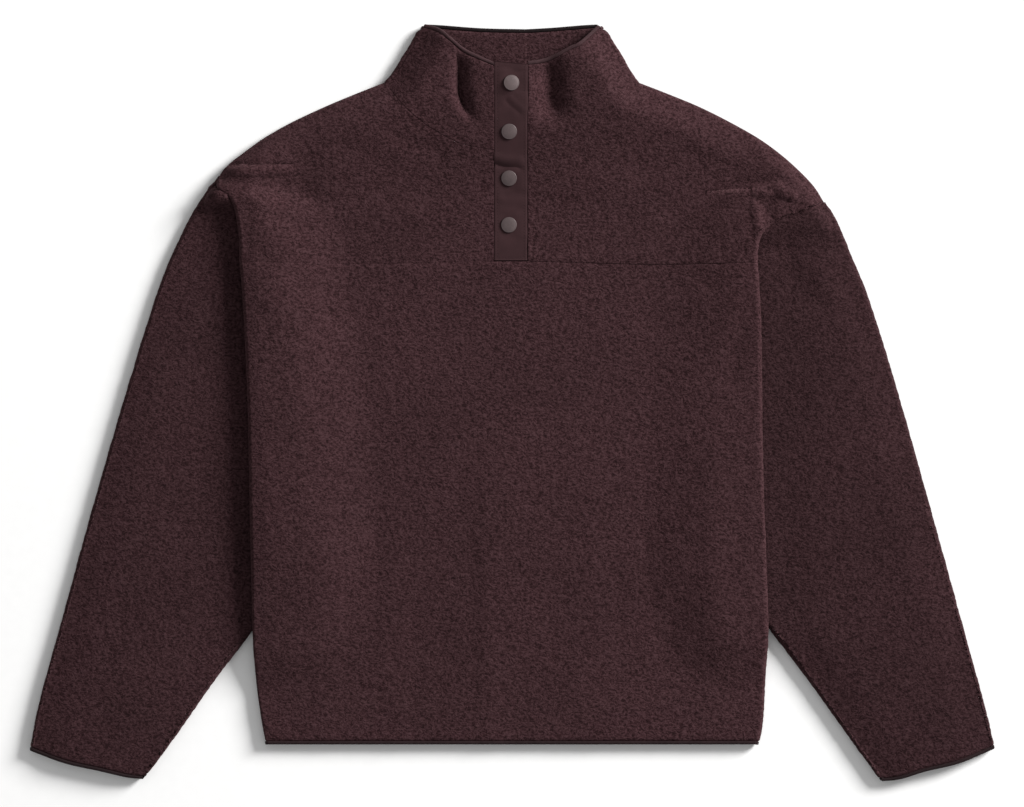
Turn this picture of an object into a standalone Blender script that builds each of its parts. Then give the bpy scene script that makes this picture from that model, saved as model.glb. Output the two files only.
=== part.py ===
"""Curly-pile fleece pullover with a snapped neck opening, laid flat with its front up.

X runs to the photograph's right, Y towards the collar and Z up from the surface it lies on.
Lengths are millimetres until a mesh is made. Every cloth piece is a wall between two grids. Both
are offset from one base grid, which lies on the wall's inner side, and they draw together at
seams and bound edges. The body's sides are folded over the sleeves and turned back under.
"""
import math

import bpy
import numpy as np

for old in list(bpy.data.objects):
    bpy.data.objects.remove(old, do_unlink=True)

MM = 0.001
WALL = 4.0                      # fleece with its pile
SLIT = 0.4                      # air between cloth layers that lie on each other
SEAM = 0.3                      # gap between two pieces at a seam
FOLD = WALL + SLIT / 2          # outer radius of a flat fold
FRONT = WALL + SLIT             # inner face of the front where it lies on the back
PLEAT = 2 * (WALL + SLIT)       # the front's rise over a sleeve and its own turned-under strip
NECK_RISE = 13.0                # the standing collar holds the front this much higher
SLEEVE_CROWN = 3.0              # rise of a sleeve's upper side clear of the body
HIDDEN_GAP = 1.7                # the coarser gap at seams that the body hides
CROSSING = -228                 # where the sleeves come out from under the body
TAPE = 1.6                      # woven placket band
UPPER_BAND = 2.5                # the two band faces above the fleece's inner face
UNDER_BAND = 0.5
BAND_LEFT, BAND_RIGHT = -17.8, 15.3
BAND_TOP, BAND_END = 341.0, 142.6
CENTRE_BACK = 14.0              # x of the collar's centre-back seam as it lies
SNAP_RADIUS = 7.8
SNAP_HEIGHT = 2.2
SNAP_SIDES = 20
SNAP_PROFILE = ((SNAP_RADIUS - 0.6, 0), (SNAP_RADIUS, 0.5), (SNAP_RADIUS, 1.1),
                (SNAP_RADIUS - 0.7, 1.7), (SNAP_RADIUS - 3.2, SNAP_HEIGHT))
SNAPS = ((0, 320.5), (-2.8, 271.5), (-2.6, 225.0), (-2.8, 178.0))
FRONT_NECK_STEPS = 7            # mesh columns along half the neck seam
BACK_NECK_STEPS = 5

# Outlines, as x and y from the middle of the whole garment. Left means the photograph's left.
COLLAR_SIDE_LEFT = ((-92, 377), (-100, 361), (-110, 345), (-120, 329), (-128, 320))
COLLAR_SIDE_RIGHT = ((92, 377), (101, 361), (111, 345), (120, 329), (127, 320))
SHOULDER_LEFT = ((-295, 225), (-283, 239), (-271, 248), (-249, 264), (-221, 280), (-187, 296),
                 (-156, 309), (-128, 320))
SHOULDER_RIGHT = ((312, 200), (302, 216), (287, 232), (269, 248), (247, 264), (219, 280),
                  (187, 296), (153, 310), (127, 320))
NECK_FRONT_LEFT = ((-128, 320), (-122.8, 315.4), (-108, 297), (-84, 277), (-52, 260), (-18.2, 253))
NECK_FRONT_RIGHT = ((127, 320), (121.5, 315.7), (108, 298), (82, 277), (50, 260), (15.8, 253))
NECK_BACK_LEFT = ((-128, 320), (-122.8, 315.4), (-90, 302), (-40, 293), (14, 290))
NECK_BACK_RIGHT = ((127, 320), (121.5, 315.7), (92, 303), (50, 293), (14, 290))
COLLAR_EDGE_LEFT = ((-88, 378), (-72, 373), (-60, 363), (-49, 354), (-36, 347), (-18.2, 339))
COLLAR_EDGE_RIGHT = ((87, 378), (68, 360), (58, 355), (44, 348), (30, 343), (15.8, 340))
COLLAR_REAR_LEFT = ((-88, 377.5), (-70, 376.5), (-30, 373.5), (14, 372.5))
COLLAR_REAR_RIGHT = ((87, 377.5), (70, 376.5), (40, 374), (14, 372.5))
YOKE_SEAM_LEFT = ((-268, 140), (-150, 137.5), (-80, 139), (-18.2, 141.5))
YOKE_SEAM_RIGHT = ((244, 140), (150, 138), (80, 139.5), (15.8, 141.5))
FOLD_LEFT = ((-295, 225), (-295.6, 217), (-290, 210), (-283, 205), (-278, 197), (-275, 184),
             (-272.5, 165), (-272, 140), (-269, 105), (-264, 3), (-262, -97), (-259, -228),
             (-257, -262), (-254, -292), (-250, -319), (-246, -340))
FOLD_RIGHT = ((312, 200), (303, 194.5), (290, 189), (275, 184), (262, 178), (252, 168),
              (248, 152), (248, 140), (251, 74), (252, -52), (254, -130), (256, -228),
              (254, -262), (252.5, -292), (251, -319), (247, -340))
ARMHOLE_LEFT = ((-295, 225), (-295.8, 217), (-294, 211.5), (-287, 208.5), (-277, 205),
                (-266, 195), (-258, 175), (-252, 150), (-244, 95), (-232, 30), (-224, -25),
                (-220.5, -67))
ARMHOLE_RIGHT = ((312, 200), (309, 196.8), (303, 193.2), (295, 191.3), (270, 189.5),
                 (256, 182), (244, 165), (236, 140), (231, 95), (226, 30), (219, -25),
                 (215.5, -67))
SIDE_SEAM_LEFT = ((-220.5, -67), (-217, -120), (-217, -160), (-224, -200), (-236, -235),
                  (-241, -265), (-242, -300), (-238, -340))
SIDE_SEAM_RIGHT = ((215.5, -67), (212, -120), (213, -160), (220, -200), (232, -235),
                   (238, -265), (240, -300), (239, -340))
HEM_LEVEL = -340.0
SLEEVE_OUTER_LEFT = ((-301, 218), (-311, 203), (-323, 183), (-342, 143), (-357, 103),
                     (-382, 23), (-417, -97), (-450, -217), (-472, -297), (-482, -346))
SLEEVE_OUTER_RIGHT = ((313.8, 199.5), (324, 183), (341, 143), (357, 103), (382, 23), (416, -97),
                      (449, -217), (471, -297), (482.5, -344))
SLEEVE_INNER_LEFT = ((-221, -67), (-225, -120), (-234, -170), (-246, -205), (-262, -231),
                     (-297, -277), (-339, -337), (-366, -373))
SLEEVE_INNER_RIGHT = ((216, -67), (221, -120), (230, -170), (243, -205), (260, -230),
                      (296, -277), (339, -337), (368, -377))
CUFF_LEFT = ((-482, -346), (-446, -359), (-410, -367), (-385, -373), (-367, -375))
CUFF_RIGHT = ((482.5, -344), (446, -359), (413, -367), (387, -375), (368, -377))

# Soft folds of the front: middle x and y, half width, half length, and rise
SWELLS = (
    (-112, -200, 20, 150, 1.5),
    (-27, -230, 18, 150, 2.2),
    (74, -190, 22, 160, 1.3),
    (196, 70, 30, 70, -2.4),
    (-205, 60, 45, 40, 1.2),
    (95, 215, 60, 14, 1.2),
    (-120, 190, 70, 16, 1.4),
)
# Dents of the collar on each side of the placket: the same columns
DENTS = ((-52, 322, 9, 44, -7.0), (42, 318, 11, 42, -6.0))

# Edge finishes: distance from the edge, inner and outer face above the base
EDGES = {
    "seam": ((0.0, 0.0, 2.2), (1.2, 0.0, 3.5), (3.2, 0.0, 4.0)),
    "rim": ((0.0, 0.0, 0.5), (1.0, 0.0, 2.7), (3.6, 0.0, 4.0)),
    "bound": ((0.0, 1.2, 2.8), (5.0, 1.2, 2.8), (7.0, 0.0, 4.0)),
    "plain": ((0.0, 0.0, 4.0),),
}
# Binding round a cloth edge, in distance past the edge and distance from the wall's middle
TAPE_SECTION = ((-4.2, 1.2), (0.5, 1.2), (0.5, -1.2), (-4.2, -1.2), (-4.2, -1.95), (1.3, -1.5),
                (1.3, 1.5), (-4.2, 1.95))


def through(points, dense=12):
    """A smooth dense line through the given points."""
    p = np.array(points, float)
    p = np.vstack((2 * p[0] - p[1], p, 2 * p[-1] - p[-2]))
    t = np.linspace(0, 1, dense, endpoint=False)[:, None]
    runs = []
    for a, b, c, d in zip(p, p[1:], p[2:], p[3:]):
        runs.append(0.5 * (2 * b + (c - a) * t + (2 * a - 5 * b + 4 * c - d) * t ** 2
                           + (3 * b - a - 3 * c + d) * t ** 3))
    return np.vstack(runs + [p[-2:-1]])


def along(line, fractions):
    """Points of a line at fractions of its length; the fractions may be a table of any shape."""
    reach = np.concatenate(([0], np.cumsum(np.linalg.norm(np.diff(line, axis=0), axis=1))))
    at = np.asarray(fractions) * reach[-1]
    return np.stack([np.interp(at, reach, line[:, k]) for k in range(2)], axis=-1)


def inset(line, distance):
    """The line moved to its own right by a distance."""
    way = np.gradient(line, axis=0)
    way /= np.linalg.norm(way, axis=1, keepdims=True)
    return line + distance * np.stack((way[:, 1], -way[:, 0]), axis=1)


def ease(t):
    t = np.clip(t, 0, 1)
    return t * t * (3 - 2 * t)


def away(x, y, line):
    """Distance of each place from a line."""
    keep = np.linalg.norm(np.diff(line, axis=0), axis=1) > 0
    a, b = line[:-1][keep], line[1:][keep]
    run = b - a
    place = np.stack((x, y), axis=-1)[..., None, :]
    t = np.clip(((place - a) * run).sum(-1) / (run ** 2).sum(-1), 0, 1)
    return np.linalg.norm(place - a - t[..., None] * run, axis=-1).min(-1)


RIM_LEFT = np.vstack((through(SHOULDER_LEFT, 4), through(COLLAR_SIDE_LEFT, 4)[::-1]))
RIM_RIGHT = np.vstack((through(SHOULDER_RIGHT, 4), through(COLLAR_SIDE_RIGHT, 4)[::-1]))
PLEAT_LEFT = through(FOLD_LEFT, 5)
PLEAT_RIGHT = through(FOLD_RIGHT, 5)
SIDE_BASE_LEFT = inset(PLEAT_LEFT, -FOLD)
SIDE_BASE_RIGHT = inset(PLEAT_RIGHT, FOLD)
BACK_SIDE_LEFT = np.array(ARMHOLE_LEFT + SIDE_SEAM_LEFT[1:])
BACK_SIDE_RIGHT = np.array(ARMHOLE_RIGHT + SIDE_SEAM_RIGHT[1:])
SLEEVE_EDGE_LEFT = through(SLEEVE_INNER_LEFT, 4)
SLEEVE_EDGE_RIGHT = through(SLEEVE_INNER_RIGHT, 4)


def bumps(x, y, table):
    """Sum of a table's rounded swells at each place."""
    total = 0
    for middle_x, middle_y, half_width, half_length, rise in table:
        total = total + rise * np.exp(-((x - middle_x) / half_width) ** 2
                                      - ((y - middle_y) / half_length) ** 2)
    return total


def at_height(line, y):
    """x of a falling line at a given y."""
    return np.interp(-y, -line[:, 1], line[:, 0])


def pleat_rise(x, y, pleat, seam, rim, side):
    """Rise of the front over the sleeve beside one pleat; side is -1 on the left."""
    edge = at_height(pleat, y)
    strip = np.abs(at_height(seam, y) - edge)
    inward = side * (edge - x)
    hold = 1 - ease((inward - strip - 6) / 85)
    return PLEAT * hold * ease(away(x, y, rim) / 15) * ease((y + 292) / 58)


def front_height(x, y):
    """Inner face of the front, collar front included."""
    left = pleat_rise(x, y, PLEAT_LEFT, BACK_SIDE_LEFT, RIM_LEFT, -1)
    right = pleat_rise(x, y, PLEAT_RIGHT, BACK_SIDE_RIGHT, RIM_RIGHT, 1)
    rim = np.minimum(away(x, y, RIM_LEFT), away(x, y, RIM_RIGHT))
    neck = NECK_RISE * ease(rim / 34) * ease((y - 190) / 140)
    dents = bumps(x, y, DENTS) * ease(rim / 20)
    soft = bumps(x, y, SWELLS) * ease(rim / 40)
    return np.maximum(FRONT, FRONT + left + right + neck + dents + soft)


def faces_of(start, end, count):
    """Inner and outer offsets along one grid line."""
    inner = np.zeros(count)
    outer = np.full(count, WALL)
    for k, row in enumerate(EDGES[start]):
        inner[k], outer[k] = row[1:]
    for k, row in enumerate(EDGES[end]):
        inner[-1 - k], outer[-1 - k] = row[1:]
    return inner, outer


def stations(line, count, start="plain", end="plain"):
    """Places along a line: the steps of its two edge finishes and even steps between them."""
    length = np.linalg.norm(np.diff(line, axis=0), axis=1).sum()
    first = [row[0] / length for row in EDGES[start]]
    last = [1 - row[0] / length for row in EDGES[end]][::-1]
    middle = np.linspace(first[-1], last[0], count + 2)[1:-1]
    return np.concatenate((first, middle, last))


def travelled(points):
    """Each point's distance along its row, from 0 to 1."""
    reach = np.concatenate(([0], np.cumsum(np.linalg.norm(np.diff(points, axis=0), axis=1))))
    return reach / reach[-1]


def panel(top, bottom, left, right, edges):
    """Places inside four rows of border points, and the wall offsets of each place."""
    down = (travelled(left) + travelled(right)) / 2
    u = (1 - down[:, None]) * travelled(top) + down[:, None] * travelled(bottom)
    v = (1 - u) * travelled(left)[:, None] + u * travelled(right)[:, None]
    u, v = u[..., None], v[..., None]
    places = ((1 - v) * top[None] + v * bottom[None] + (1 - u) * left[:, None]
              + u * right[:, None] - (1 - u) * (1 - v) * top[0] - u * (1 - v) * top[-1]
              - (1 - u) * v * bottom[0] - u * v * bottom[-1])
    inner_v, outer_v = faces_of(edges[0], edges[1], len(left))
    inner_u, outer_u = faces_of(edges[2], edges[3], len(top))
    near = np.maximum(inner_v[:, None], inner_u[None, :])
    far = np.minimum(outer_v[:, None], outer_u[None, :])
    return places, near, far


def surface(places, height):
    """Grid of 3-D points over the places, with the surface's upward normals."""
    x, y = places[..., 0], places[..., 1]
    step = 0.5
    slope_x = (height(x + step, y) - height(x - step, y)) / (2 * step)
    slope_y = (height(x, y + step) - height(x, y - step)) / (2 * step)
    normal = np.stack((-slope_x, -slope_y, np.ones_like(x)), axis=-1)
    return np.dstack((places, height(x, y))), normal / np.linalg.norm(normal, axis=-1, keepdims=True)


def bend(corner, out, near, far, drop, sweep, count):
    """Fold that starts straight up at a column of points and turns outwards through the sweep."""
    reach = drop[:, None] / 2
    angle = np.linspace(0, 1, count)[None, :] * sweep[:, None]
    way = (np.sin(angle)[..., None] * np.append(out, np.zeros((len(out), 1)), axis=1)[:, None, :]
           + np.cos(angle)[..., None] * np.array((0.0, 0.0, 1.0)))
    centre = corner[:, None, :] - np.array((0, 0, 1.0)) * reach[..., None]
    inner = centre + way * (reach + near[:, None])[..., None]
    outer = centre + way * (reach + far[:, None])[..., None]
    return inner, outer


def cloth(name, inner, outer, material, ring=False):
    """Closed wall between two grids. A ring joins its last column to its first."""
    rows, columns = inner.shape[:2]
    points = np.vstack((outer.reshape(-1, 3), inner.reshape(-1, 3))) * MM
    half = rows * columns

    def at(i, j):
        return i * columns + j % columns

    faces = []
    for i in range(rows - 1):
        for j in range(columns if ring else columns - 1):
            quad = (at(i, j), at(i + 1, j), at(i + 1, j + 1), at(i, j + 1))
            faces.append(quad)
            faces.append(tuple(half + k for k in reversed(quad)))
    border = []
    for j in range(columns if ring else columns - 1):
        border.append((at(0, j + 1), at(0, j)))
        border.append((at(rows - 1, j), at(rows - 1, j + 1)))
    if not ring:
        for i in range(rows - 1):
            border.append((at(i, 0), at(i + 1, 0)))
            border.append((at(i + 1, columns - 1), at(i, columns - 1)))
    for a, b in border:
        faces.append((b, a, half + a, half + b))
    return solid(name, points, faces, material)


def solid(name, points, faces, material):
    """Object made from points and faces, with its faces turned outwards."""
    mesh = bpy.data.meshes.new(name)
    mesh.from_pydata([tuple(p) for p in points], [], faces)
    mesh.validate()
    if signed_volume(mesh) < 0:
        mesh.flip_normals()
    mesh.shade_smooth()
    mesh.set_sharp_from_angle(angle=math.radians(50))
    mesh.materials.append(material)
    piece = bpy.data.objects.new(name, mesh)
    bpy.context.scene.collection.objects.link(piece)
    return piece


def signed_volume(mesh):
    total = 0.0
    for face in mesh.polygons:
        corners = [mesh.vertices[k].co for k in face.vertices]
        for b, c in zip(corners[1:], corners[2:]):
            total += corners[0].dot(b.cross(c))
    return total


def finish(name, colour, roughness, metallic=0.0):
    material = bpy.data.materials.new(name)
    material.use_nodes = True
    shader = material.node_tree.nodes["Principled BSDF"]
    shader.inputs["Base Color"].default_value = (*colour, 1)
    shader.inputs["Roughness"].default_value = roughness
    shader.inputs["Metallic"].default_value = metallic
    return material


FLEECE = finish("pile_fleece", (0.044, 0.021, 0.022), 0.95)
WOVEN = finish("woven_band", (0.048, 0.024, 0.027), 0.8)
BINDING = finish("elastic_binding", (0.014, 0.008, 0.010), 0.85)
CAP = finish("snap_paint", (0.14, 0.11, 0.115), 0.5, 0.3)


def outward(line, y, side):
    """Level direction away from the garment where a falling side line passes each y."""
    way = np.gradient(line, axis=0)
    way /= np.linalg.norm(way, axis=1, keepdims=True)
    way = np.stack([np.interp(-y, -line[:, 1], way[:, k]) for k in range(2)], axis=-1)
    way /= np.linalg.norm(way, axis=1, keepdims=True)
    return -side * np.stack((way[:, 1], -way[:, 0]), axis=-1)


def strip(fold, out, sweep, width, drop_from, fall):
    """Cloth that runs on from a fold for a width and falls by an amount past a distance."""
    inner_end, outer_end = fold[0][:, -1], fold[1][:, -1]
    run = np.zeros((len(out), 3))
    run[:, :2] = out * np.cos(sweep)[:, None]
    run[:, 2] = -np.sin(sweep)
    reach = np.stack((drop_from / 2, drop_from, (drop_from + width) / 2, width), axis=1)
    sink = ease((reach - drop_from[:, None]) / np.maximum(width - drop_from, 1.0)[:, None])
    move = run[:, None, :] * reach[..., None]
    move[..., 2] -= sink * fall[:, None]
    return inner_end[:, None, :] + move, outer_end[:, None, :] + move


def pleat_side(grid, near, far, line, side, rim, steps=5):
    """Fold and turned-under strip of a front panel's side, from the fold to the strip's end."""
    x, y = grid[:, 0], grid[:, 1]
    out = outward(line, y, side)
    seam = BACK_SIDE_LEFT if side < 0 else BACK_SIDE_RIGHT
    sleeve = SLEEVE_EDGE_LEFT if side < 0 else SLEEVE_EDGE_RIGHT
    edge = away(x, y, rim)
    sweep = np.radians(90 + 90 * ease((edge - 14) / 16))
    span = side * (x - at_height(seam, y)) - HIDDEN_GAP
    width = np.maximum(0.1, span * ease((edge - 24) / 30) * out[:, 0] ** 2)
    drop_from = side * (x - at_height(sleeve, y)) + FOLD
    drop_from = np.where(y > CROSSING, np.clip(drop_from, width * 0.3, width * 0.7), width * 0.3)
    fall = (grid[:, 2] - SLIT - WALL) * ease((-120 - y) / 70)
    fold = bend(grid, out, near, far, np.full(len(x), SLIT), sweep, steps + 1)
    under = strip(fold, out, sweep, width, drop_from, fall)
    return (np.concatenate((fold[0], under[0]), axis=1), np.concatenate((fold[1], under[1]), axis=1))


def walls(grid, normal, near, far):
    """The wall's inner and outer grids."""
    return grid + normal * near[..., None], grid + normal * far[..., None]


def part_of(line, high, low):
    """The stretch of a falling line between two levels, with its ends on them."""
    inside = line[(line[:, 1] < high) & (line[:, 1] > low)]
    ends = [np.array((at_height(line, level), level)) for level in (high, low)]
    return np.vstack((ends[:1], inside, ends[1:]))


def make_front_body():
    """Front below the yoke seam, with both side folds and their turned-under strips."""
    seam_y = YOKE_SEAM_LEFT[0][1] - SEAM / 2
    left = part_of(SIDE_BASE_LEFT, seam_y, HEM_LEVEL)
    right = part_of(SIDE_BASE_RIGHT, seam_y, HEM_LEVEL)
    left = along(left, stations(left, 11, "seam", "bound"))
    right = along(right, stations(right, 11, "seam", "bound"))
    seam = np.vstack((inset(through(YOKE_SEAM_LEFT), SEAM / 2),
                      inset(through(YOKE_SEAM_RIGHT), -SEAM / 2)[::-1]))
    even = np.linspace(0, 1, 19)
    top = along(seam, even)
    bottom = along(np.array((left[-1], right[-1])), even)
    top[0], top[-1] = left[0], right[0]
    places, near, far = panel(top, bottom, left, right, ("seam", "bound", "plain", "plain"))
    grid, normal = surface(places, front_height)
    inner, outer = walls(grid, normal, near, far)
    a = pleat_side(grid[:, 0], near[:, 0], far[:, 0], SIDE_BASE_LEFT, -1, RIM_LEFT)
    b = pleat_side(grid[:, -1], near[:, -1], far[:, -1], SIDE_BASE_RIGHT, 1, RIM_RIGHT)
    inner = np.concatenate((a[0][:, ::-1], inner[:, 1:-1], b[0]), axis=1)
    outer = np.concatenate((a[1][:, ::-1], outer[:, 1:-1], b[1]), axis=1)
    cloth("front_body", inner, outer, FLEECE)
    return inner, outer


def mixed_top(far, places, neck_x):
    """The rim's rounding on the shoulder and a seam's rounding along the neck."""
    for k, row in enumerate(EDGES["seam"]):
        on_neck = np.abs(places[k, :, 0]) < neck_x
        far[k] = np.where(on_neck, row[2], far[k])


def neck_points(table, inner_count, shift, end="seam"):
    """Points of a neck seam from a fold's depth past the neck point to its middle end."""
    line = inset(through(table), shift)
    length = np.linalg.norm(np.diff(line, axis=0), axis=1).sum()
    at = stations(line, inner_count, "plain", end)
    at = FOLD / length + (1 - FOLD / length) * at
    return along(line, at)


def make_yoke(name, side, shoulder, neck, seam, fold_base, rim):
    """One side of the front above the yoke seam, from the shoulder's fold to the placket."""
    neck_row = neck_points(neck, FRONT_NECK_STEPS, -side * SEAM / 2)
    tip = fold_base[0]
    crest = along(through(shoulder), np.linspace(0, 1, 9))
    top = np.vstack((tip, crest[1:], neck_row))
    seam_line = inset(through(seam), side * SEAM / 2)
    outer_side = part_of(fold_base, tip[1], YOKE_SEAM_LEFT[0][1] + SEAM / 2)
    left = along(outer_side, stations(outer_side, 7, "rim", "seam"))
    bottom = along(seam_line, stations(seam_line, len(top) - 4, "plain", "seam"))
    bottom[0] = left[-1]
    centre = np.array((top[-1], bottom[-1]))
    right = along(centre, stations(centre, 7, "rim", "seam"))
    places, near, far = panel(top, bottom, left, right, ("rim", "seam", "plain", "seam"))
    mixed_top(far, places, abs(shoulder[-1][0]))
    grid, normal = surface(places, front_height)
    inner, outer = walls(grid, normal, near, far)
    a = pleat_side(grid[:, 0], near[:, 0], far[:, 0], fold_base, side, rim)
    cloth(name, np.concatenate((a[0][:, ::-1], inner[:, 1:]), axis=1),
          np.concatenate((a[1][:, ::-1], outer[:, 1:]), axis=1), FLEECE)


def make_back():
    """The whole back, flat on the surface."""
    crest_left = along(through(SHOULDER_LEFT), np.linspace(0, 1, 7))
    crest_right = along(through(SHOULDER_RIGHT), np.linspace(0, 1, 7))
    neck_left = neck_points(NECK_BACK_LEFT, BACK_NECK_STEPS, SEAM / 2, "plain")
    neck_right = neck_points(NECK_BACK_RIGHT, BACK_NECK_STEPS, -SEAM / 2, "plain")
    top = np.vstack((crest_left, neck_left, neck_right[-2::-1], crest_right[::-1]))
    sides = []
    for line in (BACK_SIDE_LEFT, BACK_SIDE_RIGHT):
        length = np.linalg.norm(np.diff(line, axis=0), axis=1).sum()
        tip = along(line, [row[0] / length for row in EDGES["rim"]])
        hem = along(line, [1 - row[0] / length for row in EDGES["bound"]][::-1])
        sides.append(np.vstack((tip, line[1:-1], hem)))
    left, right = sides
    bottom = along(np.array((left[-1], right[-1])), travelled(top))
    places, near, far = panel(top, bottom, left, right, ("rim", "bound", "plain", "plain"))
    mixed_top(far, places, abs(SHOULDER_RIGHT[-1][0]) - 0.5)
    grid = np.dstack((places, np.full(places.shape[:2], WALL)))
    inner, outer = walls(grid, np.array((0, 0, -1.0)), near, far)
    cloth("back_body", inner, outer, FLEECE)
    return inner, outer


def make_collar(name, side, rim_side, edge, neck, rear_edge, rear_neck, front_x, rear_x):
    """Half of the stand collar: its front, the fold at its side and its back to the middle."""
    bottom = neck_points(neck, FRONT_NECK_STEPS, side * SEAM / 2)
    bottom[:, 0] += (front_x - bottom[-1, 0]) * travelled(bottom)
    side_line = inset(through(rim_side), side * FOLD)
    side_line[-1] = bottom[0]
    left = along(side_line, stations(side_line, 3, "bound", "seam"))
    edge_line = through(edge)
    edge_line[0] = left[0]
    top = along(edge_line, stations(edge_line, FRONT_NECK_STEPS, "plain", "seam"))
    centre = np.array((top[-1], bottom[-1]))
    right = along(centre, stations(centre, 3, "bound", "seam"))
    edges = ("bound", "seam", "plain", "seam")
    places, near, far = panel(top, bottom, left, right, edges)
    grid, normal = surface(places, front_height)
    inner, outer = walls(grid, normal, near, far)
    rear_bottom = neck_points(rear_neck, BACK_NECK_STEPS, side * SEAM / 2)
    rear_bottom[:, 0] += (rear_x - rear_bottom[-1, 0]) * travelled(rear_bottom)
    rear_bottom[0] = left[-1]
    rear_line = through(rear_edge)
    rear_line[0] = left[0]
    rear_top = along(rear_line, stations(rear_line, BACK_NECK_STEPS, "plain", "seam"))
    rear_top[:, 0] += (rear_x - rear_top[-1, 0]) * travelled(rear_top)
    rear_centre = np.array((rear_top[-1], rear_bottom[-1]))
    rear_right = along(rear_centre, stations(rear_centre, 3, "bound", "seam"))
    rear_places, rear_near, rear_far = panel(rear_top, rear_bottom, left, rear_right, edges)
    rear_grid = np.dstack((rear_places, np.full(rear_places.shape[:2], WALL)))
    rear_inner, rear_outer = walls(rear_grid, np.array((0, 0, -1.0)), rear_near, rear_far)
    half_turn = np.full(len(grid), math.pi)
    fold = bend(grid[:, 0], outward(side_line, grid[:, 0, 1], side), near[:, 0], far[:, 0],
                grid[:, 0, 2] - WALL, half_turn, 8)
    inner = np.concatenate((inner[:, :0:-1], fold[0], rear_inner[:, 1:]), axis=1)
    outer = np.concatenate((outer[:, :0:-1], fold[1], rear_outer[:, 1:]), axis=1)
    cloth(name, inner, outer, FLEECE)
    return inner, outer


def sleeve_height(x, y, side, pleat, edges):
    """Inner face of a sleeve's upper side: a soft crown clear of the body's fold."""
    beyond = side * (x - at_height(pleat, y))
    clear = np.where(beyond > 0, ease((away(x, y, pleat) - 8) / 60), 0)
    own = np.minimum(away(x, y, edges[0]), away(x, y, edges[1]))
    return FRONT + SLEEVE_CROWN * clear * ease(own / 40)


def make_sleeve(name, side, outer_line, inner_line, armhole, cuff, pleat):
    """Flat tube with a fold down each side, open at the armhole and the cuff."""
    far_side = inset(through(outer_line), side * FOLD)
    near_side = inset(through(inner_line), -side * FOLD)
    left = along(far_side, stations(far_side, 13, "plain", "bound"))
    right = along(near_side, stations(near_side, 13, "plain", "bound"))
    seam = inset(np.array(armhole), -side * 3 * SEAM)
    seam = seam[(seam[:, 1] < left[0][1] - 2) & (seam[:, 1] > right[0][1] + 20)]
    top = np.vstack((left[:1], seam, right[:1]))
    bottom = along(through(cuff), np.linspace(0, 1, len(top)))
    bottom[0], bottom[-1] = left[-1], right[-1]
    places, near, far = panel(top, bottom, left, right, ("plain", "bound", "plain", "plain"))
    edges = (through(outer_line, 4), through(inner_line, 4))
    grid, normal = surface(places, lambda x, y: sleeve_height(x, y, side, pleat, edges))
    inner, outer = walls(grid, normal, near, far)
    rear = np.dstack((places, np.full(places.shape[:2], WALL)))
    rear_inner, rear_outer = walls(rear, np.array((0, 0, -1.0)), near, far)
    flat_turn = np.full(len(grid), math.pi)
    a = bend(grid[:, 0], outward(far_side, grid[:, 0, 1], side), near[:, 0], far[:, 0],
             grid[:, 0, 2] - WALL, flat_turn, 6)
    b = bend(grid[:, -1], outward(near_side, grid[:, -1, 1], -side), near[:, -1], far[:, -1],
             grid[:, -1, 2] - WALL, flat_turn, 6)
    inner = np.concatenate((a[0][:, ::-1], inner[:, 1:-1], b[0], rear_inner[:, -2:0:-1]), axis=1)
    outer = np.concatenate((a[1][:, ::-1], outer[:, 1:-1], b[1], rear_outer[:, -2:0:-1]), axis=1)
    cloth(name, inner, outer, FLEECE, ring=True)
    return inner, outer


def edge_frame(inner, outer, row, before, level=None):
    """Edge points of a wall's border row, the way past the edge and the way through the wall."""
    middle = (inner + outer) / 2
    past = middle[row] - middle[before]
    if level is not None:
        past = past * 0 + level
    up = outer[row] - inner[row]
    past /= np.linalg.norm(past, axis=1, keepdims=True)
    up /= np.linalg.norm(up, axis=1, keepdims=True)
    return middle[row], past, up


def make_binding(name, frames, ring):
    """Folded tape swept along a row of edge frames."""
    middle, past, up = (np.concatenate([f[k] for f in frames]) for k in range(3))
    around = len(TAPE_SECTION)
    points = np.concatenate([[m + o * past_o + n * up_n for past_o, up_n in TAPE_SECTION]
                             for m, o, n in zip(middle, past, up)]) * MM
    count = len(middle)
    faces = []
    for i in range(count if ring else count - 1):
        a, b = i * around, (i + 1) % count * around
        for k in range(around):
            n = (k + 1) % around
            faces.append((a + k, a + n, b + n, b + k))
    if not ring:
        faces.append(tuple(range(around))[::-1])
        faces.append(tuple(range((count - 1) * around, count * around)))
    solid(name, points, faces, BINDING)


def make_band(name, left_x, right_x, level):
    """Woven band that follows the front from the collar's top to the yoke seam."""
    down, across = np.linspace(0, 1, 14), np.linspace(0, 1, 4)
    corners = [np.array((x, y)) for y in (BAND_TOP, BAND_END) for x in (left_x, right_x)]
    rows = [along(np.array((corners[a], corners[b])), down) for a, b in ((0, 2), (1, 3))]
    ends = [along(np.array((corners[a], corners[b])), across) for a, b in ((0, 1), (2, 3))]
    places, near, far = panel(ends[0], ends[1], rows[0], rows[1], ("plain",) * 4)
    grid, normal = surface(places, front_height)
    inner, outer = walls(grid, normal, np.full(near.shape, level), np.full(far.shape, level + TAPE))
    cloth(name, inner, outer, WOVEN)


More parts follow.
